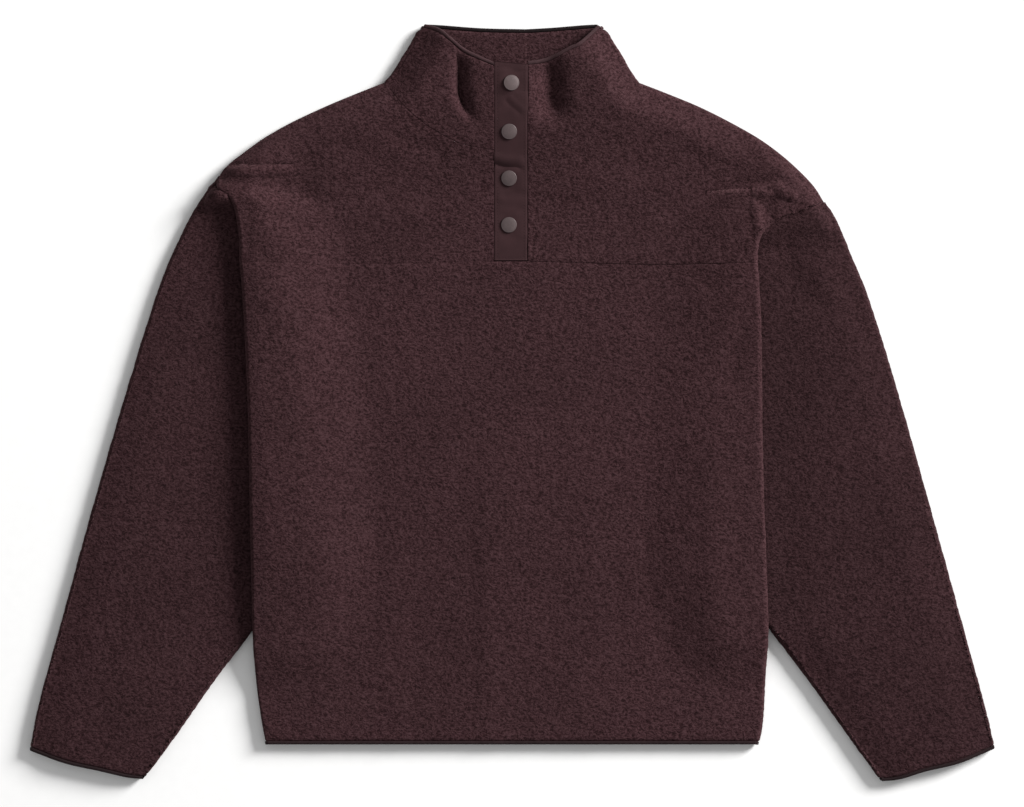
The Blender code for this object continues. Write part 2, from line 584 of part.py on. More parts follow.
def make_snap(name, x, y):
    """Domed cap on the upper band, turned to the cloth under it."""
    step = 4.0
    height = front_height(np.array((x, x - step, x + step, x, x)),
                          np.array((y, y, y, y - step, y + step)))
    up = np.array((height[1] - height[2], height[3] - height[4], 2 * step))
    up /= np.linalg.norm(up)
    right = np.cross((0, 1, 0), up)
    right /= np.linalg.norm(right)
    ahead = np.cross(up, right)
    base = np.array((x, y, height[0])) + up * (UPPER_BAND + TAPE + SEAM)
    points, faces = [], []
    for radius, rise in SNAP_PROFILE:
        for k in range(SNAP_SIDES):
            turn = 2 * math.pi * k / SNAP_SIDES
            points.append(base + radius * (math.cos(turn) * right + math.sin(turn) * ahead)
                          + rise * up)
    for ring in range(len(SNAP_PROFILE) - 1):
        for k in range(SNAP_SIDES):
            n = (k + 1) % SNAP_SIDES
            a = ring * SNAP_SIDES
            faces.append((a + k, a + n, a + SNAP_SIDES + n, a + SNAP_SIDES + k))
    faces.append(tuple(range(SNAP_SIDES))[::-1])
    last = (len(SNAP_PROFILE) - 1) * SNAP_SIDES
    faces.append(tuple(range(last, last + SNAP_SIDES)))
    solid(name, np.array(points) * MM, faces, CAP)


body_inner, body_outer = make_front_body()
make_yoke("front_yoke_left", -1, SHOULDER_LEFT, NECK_FRONT_LEFT, YOKE_SEAM_LEFT,
          SIDE_BASE_LEFT, RIM_LEFT)
make_yoke("front_yoke_right", 1, SHOULDER_RIGHT, NECK_FRONT_RIGHT, YOKE_SEAM_RIGHT,
          SIDE_BASE_RIGHT, RIM_RIGHT)
back_inner, back_outer = make_back()
collar_left = make_collar("collar_left", -1, COLLAR_SIDE_LEFT, COLLAR_EDGE_LEFT, NECK_FRONT_LEFT,
                          COLLAR_REAR_LEFT, NECK_BACK_LEFT, -18.2, CENTRE_BACK - SEAM / 2)
collar_right = make_collar("collar_right", 1, COLLAR_SIDE_RIGHT, COLLAR_EDGE_RIGHT,
                           NECK_FRONT_RIGHT, COLLAR_REAR_RIGHT, NECK_BACK_RIGHT, 15.8,
                           CENTRE_BACK + SEAM / 2)
sleeve_left = make_sleeve("sleeve_left", -1, SLEEVE_OUTER_LEFT, SLEEVE_INNER_LEFT, ARMHOLE_LEFT,
                          CUFF_LEFT, PLEAT_LEFT)
sleeve_right = make_sleeve("sleeve_right", 1, SLEEVE_OUTER_RIGHT, SLEEVE_INNER_RIGHT,
                           ARMHOLE_RIGHT, CUFF_RIGHT, PLEAT_RIGHT)
make_band("placket_under_band", BAND_LEFT + 0.3, BAND_RIGHT, UNDER_BAND)
make_band("placket_top_band", BAND_LEFT, BAND_RIGHT, UPPER_BAND)
for number, (snap_x, snap_y) in enumerate(SNAPS, start=1):
    make_snap("snap_cap_%d" % number, snap_x, snap_y)
hem_front = edge_frame(body_inner, body_outer, -1, -3)
hem_back = [part[-2:0:-1] for part in edge_frame(back_inner, back_outer, -1, -3, (0, -1, 0))]
make_binding("hem_binding", (hem_front, hem_back), True)
make_binding("cuff_binding_left", (edge_frame(*sleeve_left, -1, -3),), True)
make_binding("cuff_binding_right", (edge_frame(*sleeve_right, -1, -3),), True)
collar_start = edge_frame(*collar_left, 0, 2)
collar_end = [part[::-1] for part in edge_frame(*collar_right, 0, 2)]
make_binding("collar_binding", (collar_start, collar_end), False)
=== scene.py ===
import itertools
import math

import bpy
import numpy as np
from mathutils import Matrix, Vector


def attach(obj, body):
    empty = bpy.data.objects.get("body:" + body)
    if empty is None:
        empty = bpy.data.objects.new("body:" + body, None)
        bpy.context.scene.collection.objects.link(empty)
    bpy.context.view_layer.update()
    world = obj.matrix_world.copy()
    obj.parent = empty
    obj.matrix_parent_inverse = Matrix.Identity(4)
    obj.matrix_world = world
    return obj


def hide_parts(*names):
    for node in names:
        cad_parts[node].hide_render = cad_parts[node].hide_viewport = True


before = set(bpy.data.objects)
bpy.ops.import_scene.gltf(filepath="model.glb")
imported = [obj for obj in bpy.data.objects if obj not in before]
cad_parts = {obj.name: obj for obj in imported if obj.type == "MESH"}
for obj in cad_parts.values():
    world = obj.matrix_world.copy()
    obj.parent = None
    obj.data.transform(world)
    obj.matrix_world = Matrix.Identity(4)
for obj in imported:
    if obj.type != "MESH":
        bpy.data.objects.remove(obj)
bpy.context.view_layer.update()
bpy.ops.object.select_all(action="DESELECT")

# Stage: a pale paper floor under a soft white dome, one large soft key light low at the upper
# right, and the camera straight above. The plain sRGB view shows the stated colours as they are,
# and the floor as white.
bpy.context.scene.view_settings.view_transform = "Standard"
FLOOR_SIZE, FLOOR_LEVEL = 12, -0.0006
CAMERA_HEIGHT, CAMERA_SHIFT = 7.0, -0.0005  # shifted by half a pixel of the photograph
VIEW_WIDTH = 1.024                          # metres of the surface across the photograph
FILM_WIDTH = 36
KEY_PLACE, KEY_SIZE, KEY_POWER = (6.4, 4.0, 3.1), 2.8, 1460
KEY_COLOUR = (1.0, 0.995, 0.985)
DOME_STRENGTH = 0.44


def shader_material(name):
    """New material, with its node tree and its main shader."""
    material = bpy.data.materials.new(name)
    material.use_nodes = True
    tree = material.node_tree
    return material, tree, tree.nodes["Principled BSDF"]


def add(tree, kind, **values):
    """New shader node; values set its properties, or its inputs by name with _ for a space."""
    node = tree.nodes.new(kind)
    for key, value in values.items():
        if hasattr(node, key):
            setattr(node, key, value)
        else:
            node.inputs[key.replace("_", " ")].default_value = value
    return node


def join(tree, *pairs):
    """Links each pair's output to its input."""
    for output, socket in pairs:
        tree.links.new(output, socket)


def ramp(tree, *stops):
    """Colour ramp with its stops as place and colour."""
    node = tree.nodes.new("ShaderNodeValToRGB")
    for _ in stops[2:]:
        node.color_ramp.elements.new(0.5)
    for element, (place, colour) in zip(node.color_ramp.elements, stops):
        element.position = place
        element.color = (*colour, 1)
    return node


def set_inputs(node, **values):
    """Sets a node's own inputs by name, with _ for a space."""
    for key, value in values.items():
        node.inputs[key.replace("_", " ")].default_value = value


bpy.ops.mesh.primitive_plane_add(size=FLOOR_SIZE, location=(0, 0, FLOOR_LEVEL))
floor = bpy.context.object
floor.name = "floor"
paper, tree, shader = shader_material("pale_paper")
where = add(tree, "ShaderNodeTexCoord")
grain = add(tree, "ShaderNodeTexNoise", Scale=90, Detail=4)
tone = ramp(tree, (0.0, (0.86, 0.86, 0.86)), (1.0, (0.90, 0.90, 0.90)))
join(tree, (where.outputs["Object"], grain.inputs["Vector"]),
     (grain.outputs["Fac"], tone.inputs["Fac"]),
     (tone.outputs["Color"], shader.inputs["Base Color"]))
set_inputs(shader, Roughness=0.9)
floor.data.materials.append(paper)

world = bpy.data.worlds.new("soft_dome")
bpy.context.scene.world = world
world.use_nodes = True
dome = world.node_tree.nodes["Background"]
dome.inputs["Color"].default_value = (1.0, 1.0, 1.0, 1)
dome.inputs["Strength"].default_value = DOME_STRENGTH

bpy.ops.object.light_add(type="AREA", location=KEY_PLACE)
key = bpy.context.object
key.name = "key"
key.data.size = KEY_SIZE
key.data.energy = KEY_POWER
key.data.color = KEY_COLOUR
key.rotation_euler = (Vector((0, 0, 0)) - key.location).to_track_quat("-Z", "Y").to_euler()

bpy.ops.object.camera_add(location=(0, CAMERA_SHIFT, CAMERA_HEIGHT), rotation=(0, 0, 0))
camera = bpy.context.object
camera.data.sensor_width = FILM_WIDTH
camera.data.lens = FILM_WIDTH * CAMERA_HEIGHT / VIEW_WIDTH
camera.data.clip_end = 50
bpy.context.scene.camera = camera

# Front below the yoke seam: one wide panel of curly pile fleece, sewn to both yokes along its top
# and bound at the hem. Its sides fold under and lie over the sleeves. Each fleece piece is a wall
# between two grids, in mm, with the curls of the pile as real lumps on what shows of it.
MM = 0.001
CELL = 1.8           # between the points of a visible fleece surface
WALL = 4.0                                  # thickness of the fleece with its pile
SLIT = 0.4                                  # between layers that lie on each other
SEAM = 0.1                                  # between pieces sewn together, under the pile
FOLD = WALL + SLIT / 2                      # reach of a flat fold past its turning line
FOLD_STEPS = 14                             # points round a fold, from its start to its end
FRONT = WALL + SLIT                         # level of the front's inner face
PLEAT = 2 * (WALL + SLIT)                   # rise of the front where it lies over a sleeve
LOFT = 6.4                                  # further rise of the left fold
SHARP, ROUND = 0.5, 1.1                     # widths of the left and right folds over half their height
NECK_RISE = 13.0
HIDDEN_GAP = 1.7                            # from a turned-under strip's end to the side seam
BODY_LENGTH, BODY_WIDTH = 470, 510
HEM_LEVEL = -340.0
CROSSING = -228                             # level where each sleeve leaves the body's side

# Where the lay changes: the distance from a rim, or the level and the run upwards or downwards
RIM_RUN, DENT_RIM, SWELL_RIM, CREASE_RIM = 15, 20, 40, 11
PLEAT_FOOT, PLEAT_FOOT_RUN = -292, 58
PLEAT_SPARE, PLEAT_RUN = 6, 85              # past the seam, until the front lies low again
TURN_DROP, TURN_FROM, TURN_RUN = 20, 165, 25    # the right fold's top is read from lower down
LOFT_RIM, LOFT_FOOT, LOFT_RUN = 30, -250, 90
NECK_RIM, NECK_FOOT, NECK_RUN = 34, 190, 140
HALF_TURN_RIM, HALF_TURN_RUN = 14, 16
STRIP_RIM, STRIP_RUN = 24, 30
FALL_FROM, FALL_RUN = -120, 70

# Outlines, as x and y from the middle of the whole garment. Left means the photograph's left.
COLLAR_SIDE_LEFT = ((-92, 377), (-100, 361), (-110, 345), (-120, 329), (-128, 320))
COLLAR_SIDE_RIGHT = ((92, 377), (101, 361), (111, 345), (120, 329), (127, 320))
SHOULDER_LEFT = ((-291.5, 228), (-282.5, 239), (-271, 248), (-249, 264), (-221, 280), (-187, 296),
                 (-156, 309), (-128, 320))
SHOULDER_RIGHT = ((312, 200), (302, 216), (287, 232), (269, 248), (247, 264), (219, 280),
                  (187, 296), (153, 310), (127, 320))
YOKE_SEAM_LEFT = ((-268, 140), (-150, 137.5), (-80, 139), (-17.9, 141.5))
YOKE_SEAM_RIGHT = ((240.8, 140), (150, 138), (80, 139.5), (15.8, 141.5))
FOLD_LEFT = ((-291.5, 228), (-295.3, 217), (-290, 210), (-283, 205), (-278, 197), (-275, 184),
             (-272.5, 165), (-272, 140), (-269, 105), (-264, 3), (-262, -97), (-259, -228),
             (-257, -262), (-254, -292), (-250, -319), (-246, -340))
FOLD_RIGHT = ((312, 200), (303, 194.5), (290, 189), (275, 184), (262, 178), (250, 169),
              (245.5, 152), (245.5, 140), (249, 74), (250.5, -52), (253, -130), (256, -228),
              (254, -262), (252.5, -292), (251, -319), (247, -340))
ARMHOLE_LEFT = ((-291.5, 228), (-295.5, 217), (-294, 211.5), (-287, 208.5), (-277, 205),
                (-266, 195), (-258, 175), (-252, 150), (-244, 95), (-232, 30), (-224, -25),
                (-220.5, -67))
ARMHOLE_RIGHT = ((312, 200), (309, 196.8), (303, 193.2), (295, 191.3), (270, 189.5),
                 (256, 182), (244, 165), (236, 140), (231, 95), (226, 30), (219, -25),
                 (215.5, -67))
SIDE_SEAM_LEFT = ((-220.5, -67), (-217, -120), (-217, -160), (-224, -200), (-236, -235),
                  (-241, -265), (-242, -300), (-238, -340))
SIDE_SEAM_RIGHT = ((215.5, -67), (212, -120), (213, -160), (220, -200), (232, -235),
                   (238, -265), (240, -300), (239, -340))
SLEEVE_INNER_LEFT = ((-221, -67), (-225, -120), (-234, -170), (-246, -205), (-262, -231),
                     (-297, -277), (-339, -337), (-366, -373))
SLEEVE_INNER_RIGHT = ((216, -67), (221, -120), (230, -170), (243, -205), (260, -230),
                      (296, -277), (339, -337), (368, -377))

# Soft folds of the front: middle x and y, half width, half length, and rise
SWELLS = (
    (-112, -200, 20, 150, 0.9),
    (-27, -230, 18, 150, 1.1),
    (74, -190, 22, 160, 0.8),
    (196, 70, 30, 70, -1.8),
    (-205, 60, 45, 40, 0.5),
    (95, 215, 60, 14, 1.2),
    (-120, 190, 70, 16, 1.4),
)
# Dents of the collar on each side of the placket: middle x and y, half width to the left and to
# the right, half length, rise, and how far the lower end bows to the right
DENTS = ((-55.5, 316, 3.5, 11, 28, -11.5, 9), (38, 314, 14, 14, 29, -12.0, 4))

# Narrow creases, as x and y of both ends, half width and rise
CREASES = (
    (-248, 196, -205, 172, 9, -1.6),
    (-252, 150, -214, 120, 12, -1.4),
    (-246, 100, -200, 92, 10, 1.0),
    (236, 150, 190, 118, 12, -1.5),
    (238, 96, 214, 20, 12, -1.6),
    (-100, 20, -96, -330, 14, -0.6),
    (-42, -40, -40, -335, 10, -0.5),
    (122, 60, 130, -330, 16, -0.7),
    (-180, -120, -188, -330, 14, 0.6),
    (205, -60, 198, -320, 14, 0.6),
    (-70, 246, -118, 268, 9, -1.2),
    (66, 246, 108, 262, 9, -1.2),
    (-175, 262, -120, 236, 12, -1.0),
    (180, 255, 120, 232, 12, -1.0),
    (-288, 230.6, -222, 232.4, 3.0, 2.6),
    (-284, 236.2, -222, 237.8, 2.4, -1.8),
    (-276, 222, -226, 224, 5.0, -0.6),
    (-269, 175, -259.5, -190, 11, -2.0),
    (-262, 212, -240, 190, 8, 1.3),
    (-236, 212, -190, 196, 11, -1.8),
    (209, 204, 240, 211.5, 5, 1.0),
    (241, 212, 268, 213.4, 4.2, 3.0),
    (266, 213, 281, 205, 4.2, 3.0),
    (248, 150, 243, 199, 3.6, 1.8),
    (257, 164, 256, 200, 7, -1.6),
)
# Edge finishes: distance from the edge, inner and outer face above the base
EDGES = {
    "seam": ((0.0, 0.0, 3.5), (0.8, 0.0, 3.7), (1.7, 0.0, 3.85), (2.9, 0.0, 3.95), (4.4, 0.0, 4.0)),
    "close": ((0.0, 0.0, 3.8), (0.4, 0.0, 3.9), (0.9, 0.0, 4.0), (1.7, 0.0, 4.0), (2.7, 0.0, 4.0)),
    "rim": ((0.0, 0.0, 0.4), (0.3, 0.0, 1.6), (0.9, 0.0, 2.6), (1.9, 0.0, 3.4), (3.8, 0.0, 4.0)),
    "bound": ((0.0, 1.2, 2.8), (2.6, 1.2, 2.8), (3.0, 0.8, 3.3), (3.8, 0.3, 3.8), (5.4, 0.0, 4.0)),
    "plain": ((0.0, 0.0, 4.0),),
}


def through(points, dense=12):
    """A smooth dense line through the given points."""
    p = np.array(points, float)
    p = np.vstack((2 * p[0] - p[1], p, 2 * p[-1] - p[-2]))
    t = np.linspace(0, 1, dense, endpoint=False)[:, None]
    runs = []
    for a, b, c, d in zip(p, p[1:], p[2:], p[3:]):
        runs.append(0.5 * (2 * b + (c - a) * t + (2 * a - 5 * b + 4 * c - d) * t ** 2
                           + (3 * b - a - 3 * c + d) * t ** 3))
    return np.vstack(runs + [p[-2:-1]])


def along(line, fractions):
    """Points of a line at fractions of its length."""
    reach = np.concatenate(([0], np.cumsum(np.linalg.norm(np.diff(line, axis=0), axis=1))))
    at = np.asarray(fractions) * reach[-1]
    return np.stack([np.interp(at, reach, line[:, k]) for k in range(2)], axis=-1)


def inset(line, distance):
    """The line moved to its own right by a distance."""
    way = np.gradient(line, axis=0)
    way /= np.linalg.norm(way, axis=1, keepdims=True)
    return line + distance * np.stack((way[:, 1], -way[:, 0]), axis=1)


def ease(t):
    """Smooth step from 0 to 1, level at both ends."""
    t = np.clip(t, 0, 1)
    return t * t * (3 - 2 * t)


def away(x, y, line):
    """Distance of each place from a line."""
    keep = np.linalg.norm(np.diff(line, axis=0), axis=1) > 0
    best = np.full(np.shape(x), 1e9)
    for a, run in zip(line[:-1][keep], np.diff(line, axis=0)[keep]):
        t = np.clip(((x - a[0]) * run[0] + (y - a[1]) * run[1]) / (run ** 2).sum(), 0, 1)
        best = np.minimum(best, np.hypot(x - a[0] - t * run[0], y - a[1] - t * run[1]))
    return best


RIM_LEFT = np.vstack((through(SHOULDER_LEFT, 4), through(COLLAR_SIDE_LEFT, 4)[::-1]))
RIM_RIGHT = np.vstack((through(SHOULDER_RIGHT, 4), through(COLLAR_SIDE_RIGHT, 4)[::-1]))
PLEAT_LEFT = through(FOLD_LEFT, 5)
PLEAT_RIGHT = through(FOLD_RIGHT, 5)


def loft(x, y, rim, side):
    """How much further the left fold stands up, clear of its sleeve; the right one lies flat."""
    return LOFT * (side < 0) * ease(away(x, y, rim) / LOFT_RIM) * ease((y - LOFT_FOOT) / LOFT_RUN)


FULL_LEFT = loft(PLEAT_LEFT[:, 0], PLEAT_LEFT[:, 1], RIM_LEFT, -1)
SIDE_BASE_LEFT = inset(PLEAT_LEFT, -SHARP * (FOLD + FULL_LEFT[:, None] / 2))
SIDE_BASE_RIGHT = inset(PLEAT_RIGHT, ROUND * FOLD)
BACK_SIDE_LEFT = np.array(ARMHOLE_LEFT + SIDE_SEAM_LEFT[1:])
BACK_SIDE_RIGHT = np.array(ARMHOLE_RIGHT + SIDE_SEAM_RIGHT[1:])
SLEEVE_EDGE_LEFT = through(SLEEVE_INNER_LEFT, 4)
SLEEVE_EDGE_RIGHT = through(SLEEVE_INNER_RIGHT, 4)


def bumps(x, y, table):
    """Sum of a table's rounded swells at each place."""
    total = 0
    for middle_x, middle_y, half_width, half_length, rise in table:
        total = total + rise * np.exp(-((x - middle_x) / half_width) ** 2
                                      - ((y - middle_y) / half_length) ** 2)
    return total


def dents(x, y, table):
    """Sum of a table's steep-sided hollows at each place."""
    total = 0
    for middle_x, middle_y, to_left, to_right, half_length, rise, bow in table:
        across = x - middle_x - bow * np.clip((middle_y - y) / half_length, 0, 2) ** 2
        across = across / np.where(across < 0, to_left, to_right)
        total = total + rise * np.exp(-across ** 2 - ((y - middle_y) / half_length) ** 4)
    return total


def creases(x, y, table):
    """Sum of a table's troughs and ridges; each fades towards its two ends."""
    total = 0
    for x0, y0, x1, y1, half_width, rise in table:
        run = np.array((x1 - x0, y1 - y0), float)
        t = ((x - x0) * run[0] + (y - y0) * run[1]) / (run ** 2).sum()
        off = ((y - y0) * run[0] - (x - x0) * run[1]) / np.linalg.norm(run)
        off = off + 0.25 * half_width * np.sin(5 * t)
        fade = ease(np.clip(t + 0.15, 0, 1) * 4) * ease(np.clip(1.15 - t, 0, 1) * 4)
        total = total + rise * fade * np.exp(-(off / half_width) ** 2)
    return total


def at_height(line, y):
    """x of a falling line at a given y."""
    return np.interp(-y, -line[:, 1], line[:, 0])


def pleat_rise(x, y, pleat, seam, rim, side):
    """Rise of the front over the sleeve beside one pleat; side is -1 on the left."""
    level = y - TURN_DROP * (side > 0) * ease((y - TURN_FROM) / TURN_RUN)
    edge = at_height(pleat, level)
    inward = side * (edge - x)
    behind = inward - np.abs(at_height(seam, level) - edge)
    hold = 1 - ease((behind - PLEAT_SPARE) / PLEAT_RUN)
    rise = PLEAT * ease(away(x, y, rim) / RIM_RUN) * ease((y - PLEAT_FOOT) / PLEAT_FOOT_RUN)
    return hold * (rise + loft(x, y, rim, side))


def front_height(x, y):
    """Inner face of the front, collar front included."""
    left = pleat_rise(x, y, PLEAT_LEFT, BACK_SIDE_LEFT, RIM_LEFT, -1)
    right = pleat_rise(x, y, PLEAT_RIGHT, BACK_SIDE_RIGHT, RIM_RIGHT, 1)
    rim = np.minimum(away(x, y, RIM_LEFT), away(x, y, RIM_RIGHT))
    neck = NECK_RISE * ease(rim / NECK_RIM) * ease((y - NECK_FOOT) / NECK_RUN)
    hollow = dents(x, y, DENTS) * ease(rim / DENT_RIM)
    soft = bumps(x, y, SWELLS) * ease(rim / SWELL_RIM)
    fine = creases(x, y, CREASES) * ease(rim / CREASE_RIM)
    return np.maximum(FRONT, FRONT + left + right + neck + hollow + soft + fine)


def stations(line, count, start="plain", end="plain"):
    """Places along a line: the steps of its two edge finishes and even steps between them."""
    length = np.linalg.norm(np.diff(line, axis=0), axis=1).sum()
    first = [row[0] / length for row in EDGES[start]]
    last = [1 - row[0] / length for row in EDGES[end]][::-1]
    middle = np.linspace(first[-1], last[0], count + 2)[1:-1]
    return np.concatenate((first, middle, last))


def faces_of(start, end, count):
    """Inner and outer offsets along one grid line."""
    inner = np.zeros(count)
    outer = np.full(count, WALL)
    for k, row in enumerate(EDGES[start]):
        inner[k], outer[k] = row[1:]
    for k, row in enumerate(EDGES[end]):
        inner[-1 - k], outer[-1 - k] = row[1:]
    return inner, outer


def travelled(points):
    """Each point's distance along its row, from 0 to 1."""
    reach = np.concatenate(([0], np.cumsum(np.linalg.norm(np.diff(points, axis=0), axis=1))))
    return reach / reach[-1]


def panel(top, bottom, left, right, edges):
    """Places inside four rows of border points, and the wall offsets of each place."""
    down = (travelled(left) + travelled(right)) / 2
    u = (1 - down[:, None]) * travelled(top) + down[:, None] * travelled(bottom)
    v = (1 - u) * travelled(left)[:, None] + u * travelled(right)[:, None]
    u, v = u[..., None], v[..., None]
    places = ((1 - v) * top[None] + v * bottom[None] + (1 - u) * left[:, None]
              + u * right[:, None] - (1 - u) * (1 - v) * top[0] - u * (1 - v) * top[-1]
              - (1 - u) * v * bottom[0] - u * v * bottom[-1])
    inner_v, outer_v = faces_of(edges[0], edges[1], len(left))
    inner_u, outer_u = faces_of(edges[2], edges[3], len(top))
    near = np.maximum(inner_v[:, None], inner_u[None, :])
    far = np.minimum(outer_v[:, None], outer_u[None, :])
    return places, near, far


def surface(places, height):
    """Grid of 3-D points over the places, with the surface's upward normals."""
    x, y = places[..., 0], places[..., 1]
    step = 0.5
    z = height(x, y)
    slope_x = (height(x + step, y) - z) / step
    slope_y = (height(x, y + step) - z) / step
    normal = np.stack((-slope_x, -slope_y, np.ones_like(x)), axis=-1)
    return np.dstack((places, z)), normal / np.linalg.norm(normal, axis=-1, keepdims=True)


def bend(corner, out, near, far, drop, sweep, count):
    """Fold that starts straight up at a column of points and turns outwards through the sweep."""
    reach = drop[:, None] / 2
    angle = np.linspace(0, 1, count)[None, :] * sweep[:, None]
    way = (np.sin(angle)[..., None] * np.append(out, np.zeros((len(out), 1)), axis=1)[:, None, :]
           + np.cos(angle)[..., None] * np.array((0.0, 0.0, 1.0)))
    centre = corner[:, None, :] - np.array((0, 0, 1.0)) * reach[..., None]
    inner = centre + way * (reach + near[:, None])[..., None]
    outer = centre + way * (reach + far[:, None])[..., None]
    return inner, outer


def steps(length, cell=CELL):
    """Number of a grid's steps along a length."""
    return round(length / cell)


# Pile: size of the curls and of the clumps that they stand in, how far and over what size their
# pattern is bent, size of the patches in which it stands higher, and depth between crest and pit
CURL_SIZE, CLUMP_SIZE = 3.7, 8.0
BEND, BEND_SIZE = 1.6, 7.0
PATCH_SIZE = 15.0
PILE = 0.7


def lattice(cell, seed):
    """A random number from -1 to 1 for each cell of a grid in space."""
    h = cell[..., 0] * 374761393 + cell[..., 1] * 668265263 + cell[..., 2] * 1440662683
    h = (h + seed * 1013904223) & 0xFFFFFFFF
    h = ((h ^ (h >> 13)) * 1274126177) & 0xFFFFFFFF
    return ((h ^ (h >> 16)) & 0xFFFF) / 32767.5 - 1.0


def noise(p, size, seed):
    """Smooth random field from about -1 to 1, with lumps of the given size."""
    q = p / size
    base = np.floor(q).astype(np.int64)
    f = q - base
    w = f * f * f * (f * (f * 6 - 15) + 10)
    total = 0
    for corner in itertools.product((0, 1), repeat=3):
        cell = base + corner
        share = np.prod(np.where(corner, w, 1 - w), axis=-1)
        slope = sum((f[..., k] - corner[k]) * lattice(cell, seed + 7 * k) for k in range(3))
        total = total + share * slope
    return total * 1.4


def curls(p):
    """The pile's height from its curls, in 0 to 1: rounded lumps with pits between them."""
    bent = p + BEND * np.stack([noise(p, BEND_SIZE, seed) for seed in (11, 12, 13)], axis=-1)
    bent = bent * (0.85, 1.0, 1.0)
    height = 0.55 + 0.65 * noise(bent, CURL_SIZE, 21) + 0.35 * noise(bent, CLUMP_SIZE, 31)
    return np.clip(height, 0, 1)


def piled(inner, outer, depth):
    """The outer grid raised by its pile, away from the inner one, and the curls' height."""
    way = outer - inner
    thick = np.linalg.norm(way, axis=-1)
    height = curls(outer)
    hold = np.clip((thick - 1.0) / 3.0, 0.05, 1)
    lift = depth * hold * (height - 0.5 + 0.35 * noise(outer, PATCH_SIZE, 41))
    return outer + way * (lift / thick)[..., None], height


def quads(grid, way, ring=False, start=0):
    """Corner numbers of a grid's faces, turned so that they face the way given."""
    rows, columns = grid.shape[:2]
    i, j = np.mgrid[0:rows - 1, 0:columns if ring else columns - 1]
    after = (j + 1) % columns
    faces = np.stack((i * columns + j, (i + 1) * columns + j, (i + 1) * columns + after,
                      i * columns + after), axis=-1).reshape(-1, 4)
    facing = np.cross(grid[1:, :-1] - grid[:-1, :-1], grid[:-1, 1:] - grid[:-1, :-1])
    if (facing * way[:-1, :-1]).sum() < 0:
        faces = faces[:, ::-1]
    return start + faces


def make_mesh(name, points, faces, material, curl=None, nap_shade=1.0):
    """Smooth object from arrays in mm that rides on the garment's one body.

    Fleece keeps its curls' height, which also drives the painted shade in its pits, and its nap shade,
    a painted shade that darkens the tone of a whole piece as its pile lies."""
    mesh = bpy.data.meshes.new(name)
    mesh.from_pydata((points * MM).tolist(), [], faces.tolist())
    mesh.shade_smooth()
    if curl is not None:
        curl = np.asarray(curl, np.float32).ravel()
        for key, value in (("curl", curl), ("nap_shade", np.full_like(curl, nap_shade))):
            store = mesh.attributes.new(key, "FLOAT", "POINT")
            store.data.foreach_set("value", value)
    mesh.materials.append(material)
    piece = bpy.data.objects.new(name, mesh)
    bpy.context.scene.collection.objects.link(piece)
    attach(piece, "root")
    return piece


def one_face(name, inner, outer, material, ring=False, nap_shade=1.0):
    """The outer face of a wall alone, with its pile."""
    grid, height = piled(inner, outer, PILE)
    faces = quads(grid, outer - inner, ring)
    return make_mesh(name, grid.reshape(-1, 3), faces, material, height, nap_shade)


def outward(line, y, side):
    """Level direction away from the garment where a falling side line passes each y."""
    way = np.gradient(line, axis=0)
    way /= np.linalg.norm(way, axis=1, keepdims=True)
    way = np.stack([np.interp(-y, -line[:, 1], way[:, k]) for k in range(2)], axis=-1)
    way /= np.linalg.norm(way, axis=1, keepdims=True)
    return -side * np.stack((way[:, 1], -way[:, 0]), axis=-1)


def strip(fold, out, sweep, width, drop_from, fall):
    """Cloth that runs on from a fold for a width and falls by an amount past a distance."""
    inner_end, outer_end = fold[0][:, -1], fold[1][:, -1]
    run = np.zeros((len(out), 3))
    run[:, :2] = out * np.cos(sweep)[:, None]
    run[:, 2] = -np.sin(sweep)
    reach = np.stack([drop_from * k / 4 for k in range(1, 5)]
                     + [drop_from + (width - drop_from) * k / 6 for k in range(1, 7)], axis=1)
    sink = ease((reach - drop_from[:, None]) / np.maximum(width - drop_from, 1.0)[:, None])
    move = run[:, None, :] * reach[..., None]
    move[..., 2] -= sink * fall[:, None]
    return inner_end[:, None, :] + move, outer_end[:, None, :] + move


def pleat_side(grid, near, far, line, side, rim):
    """Fold and turned-under strip of a front panel's side, from the fold to the strip's end."""
    x, y = grid[:, 0], grid[:, 1]
    out = outward(line, y, side)
    seam = BACK_SIDE_LEFT if side < 0 else BACK_SIDE_RIGHT
    sleeve = SLEEVE_EDGE_LEFT if side < 0 else SLEEVE_EDGE_RIGHT
    from_rim = away(x, y, rim)
    sweep = np.radians(90 + 90 * ease((from_rim - HALF_TURN_RIM) / HALF_TURN_RUN))
    span = side * (x - at_height(seam, y)) - HIDDEN_GAP
    width = np.maximum(0.1, span * ease((from_rim - STRIP_RIM) / STRIP_RUN) * out[:, 0] ** 2)
    drop_from = side * (x - at_height(sleeve, y)) + FOLD
    drop_from = np.where(y > CROSSING, np.clip(drop_from, width * 0.3, width * 0.7), width * 0.3)
    drop = SLIT + loft(x, y, rim, side)
    fall = (grid[:, 2] - drop - WALL) * ease((FALL_FROM - y) / FALL_RUN)
    fold = bend(grid, (SHARP if side < 0 else ROUND) * out, near, far, drop, sweep, FOLD_STEPS)
    under = strip(fold, out, sweep, width, drop_from, fall)
    return (np.concatenate((fold[0], under[0]), axis=1), np.concatenate((fold[1], under[1]), axis=1))


def walls(grid, normal, near, far):
    """The wall's inner and outer grids."""
    return grid + normal * near[..., None], grid + normal * far[..., None]


def part_of(line, high, low):
    """The stretch of a falling line between two levels, with its ends on them."""
    inside = line[(line[:, 1] < high) & (line[:, 1] > low)]
    ends = [np.array((at_height(line, level), level)) for level in (high, low)]
    return np.vstack((ends[:1], inside, ends[1:]))


def grouped(tree, group, **values):
    """A node group placed in a material with its own values."""
    node = tree.nodes.new("ShaderNodeGroup")
    node.node_tree = group
    set_inputs(node, **values)
    return node


